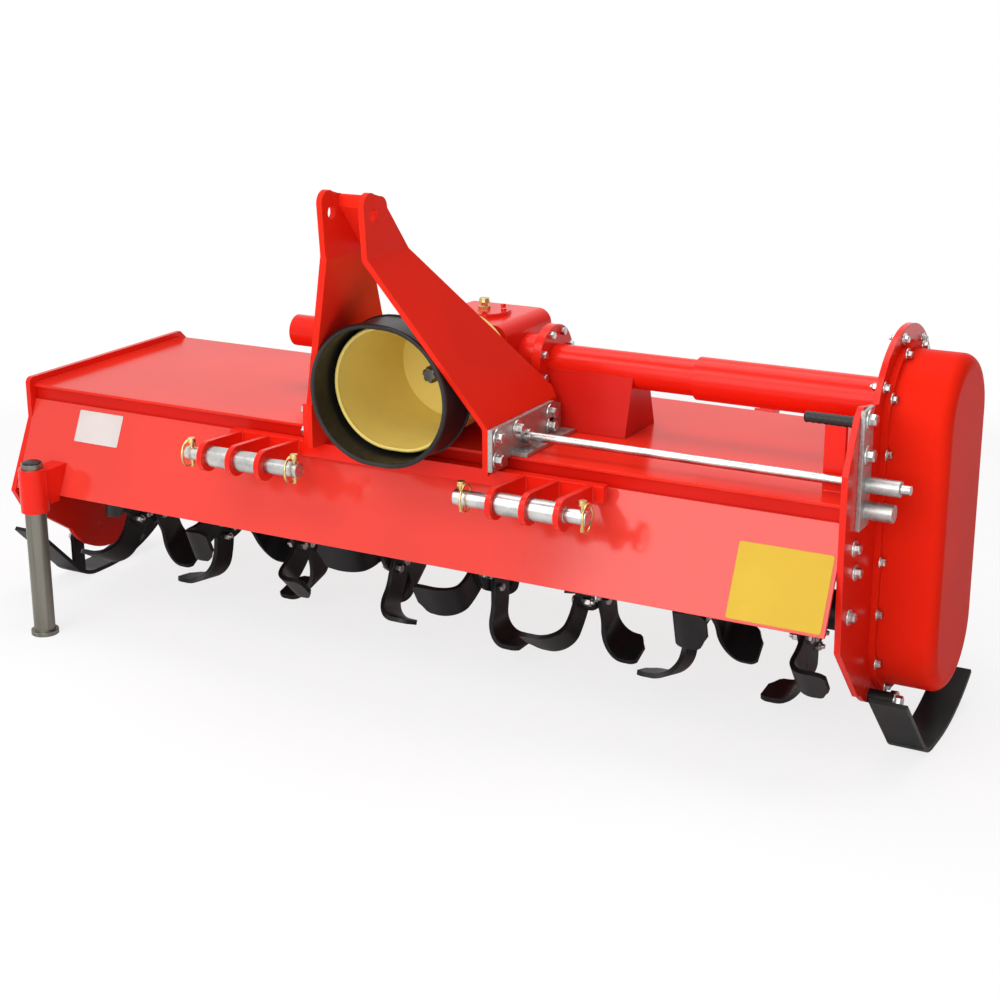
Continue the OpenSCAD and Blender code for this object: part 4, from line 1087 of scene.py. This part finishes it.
# %% Ribs of the rear board
HINGE_Y, HINGE_Z, BOARD_LEAN, BOARD_HALF = 338.0, 428.0, math.radians(20), 3.0
RIBS = (-690, -420, -140, 140, 420, 690)
RIB_WIDE, RIB_LONG, RIB_RISE, RIB_MIDDLE, RIB_SINK = 26.0, 180.0, 5.0, 165.0, 0.5
RIB_CORNER, RIB_CORNERS, RIB_FOOT = 0.49, 7, 0.3
RIB_SHOULDERS = ((0.5, 0.45), (0.7, 0.25))
hood_middle = (x_plate + x_plate_left) / 2
down = Vector((0, math.sin(BOARD_LEAN), -math.cos(BOARD_LEAN)))
off_board = Vector((0, math.cos(BOARD_LEAN), math.sin(BOARD_LEAN)))

bm = bmesh.new()
wide, tall, rise = RIB_WIDE * MM, RIB_LONG * MM, RIB_RISE * MM
pushed = add_plate(bm, wide, tall, wide * RIB_CORNER, RIB_CORNERS, rise * RIB_FOOT)
top = kind_of(pushed, BMFace)
for inset, lift in RIB_SHOULDERS:
    bmesh.ops.inset_region(bm, faces=top, thickness=rise * inset, depth=rise * lift)
rib = bpy.data.meshes.new("rib")
bm.to_mesh(rib)
bm.free()

bm = bmesh.new()
laid = Matrix((X, -down, off_board)).transposed().to_4x4()
for x in RIBS:
    middle = spot(hood_middle + x, HINGE_Y, HINGE_Z) + down * RIB_MIDDLE * MM
    add_copy(bm, rib, Matrix.Translation(middle + off_board * (BOARD_HALF - RIB_SINK) * MM) @ laid)
finish_piece("board_ribs", bm, red_paint, "rear_board")

# %% [markdown]
# The skirt above the board is bolted to the hinge knuckles, and two plugs close the back of the
# chain case, where oil is filled in and let out.

# %% Bolts at the back
KNUCKLES, KNUCKLE_BOLT = (-810, -270, 270, 810), 18
SKIRT_Y, SKIRT_Z, SKIRT_RISE = HINGE_Y - 8, HINGE_Z + 12, 30
PLUG_OUT, PLUG_FROM_FOOT, PLUG_FROM_TOP = 70, 170, 190
skirt_slope = Vector((0, SKIRT_Y - deck[4], SKIRT_Z - deck[5])).normalized()
off_skirt = skirt_slope.cross(X)
bm = bmesh.new()
for x in KNUCKLES:
    for aside in (-KNUCKLE_BOLT, KNUCKLE_BOLT):
        foot = spot(hood_middle + x + aside, SKIRT_Y, SKIRT_Z) - skirt_slope * SKIRT_RISE * MM
        bolt(bm, foot, off_skirt, 13)
for z in (case[2] + PLUG_FROM_FOOT, case[5] - PLUG_FROM_TOP):
    bolt(bm, spot(x_plate + PLUG_OUT, case_half, z), Y, 22)
finish_piece("rear_bolts", bm, bolt_zinc, "hood")

# %% [markdown]
# The mast's two cheeks are tied by a web. Its upper edge is drawn up between the cheeks and
# rounded with a bevel, so that a hand or a chain does not meet a sharp sheet.

# %% Web lip
WEB_LIFT, WEB_THICK, WEB_LAP, WEB_SET, WEB_ROUND = 22.0, 12.0, 2, 0.3, 5.5
tie = edges("mast_tie")
bm = bmesh.new()
made = bmesh.ops.create_grid(bm, x_segments=1, y_segments=1, size=0.5)
bmesh.ops.scale(bm, verts=made["verts"], vec=((tie[3] - tie[0] + 1) * MM, WEB_THICK * MM, 1))
pushed = bmesh.ops.extrude_face_region(bm, geom=bm.faces[:])["geom"]
high = kind_of(pushed, BMVert)
bmesh.ops.translate(bm, verts=high, vec=(0, 0, (WEB_LIFT + WEB_LAP) * MM))
top_edges = [e for e in bm.edges if all(v in high for v in e.verts)]
long_edges = [e for e in top_edges if abs(e.verts[0].co.y - e.verts[1].co.y) < 0.1 * MM]
rounding = {"offset": WEB_ROUND * MM, "segments": 5, "profile": 0.5, "affect": "EDGES"}
bmesh.ops.bevel(bm, geom=long_edges, material=-1, **rounding)
web_y = tie[1] + WEB_SET + WEB_THICK / 2
bmesh.ops.translate(bm, verts=bm.verts, vec=spot((tie[0] + tie[3]) / 2, web_y, tie[5] - WEB_LAP))
finish_piece("web_lip", bm, dull_paint, "hitch_carriage")

# %% [markdown]
# The stand's leg is an open tube. A black plug with a rounded rim sits in its mouth: painted shade,
# standing for the dark inside of the tube. The plug is a turned bar, and rides on the leg when the
# stand is moved.

# %% Leg plug of painted shade
LEG_RADIUS, PLUG_SINK = 24.0, 0.5
# Each step is its run and how far its radius stays inside the leg's.
PLUG_STEPS = ((0, 3.2), (2.0, 3.0), (1.6, 4.2), (0.8, 7.0))
bm = bmesh.new()
plug = [(run, LEG_RADIUS - inside) for run, inside in PLUG_STEPS]
turned_bar(bm, plug, 36, turned_to(Z, spot(leg_x, leg_y, leg[5] - PLUG_SINK)))
finish_piece("leg_shade_plug", bm, black_plastic, "stand_leg")
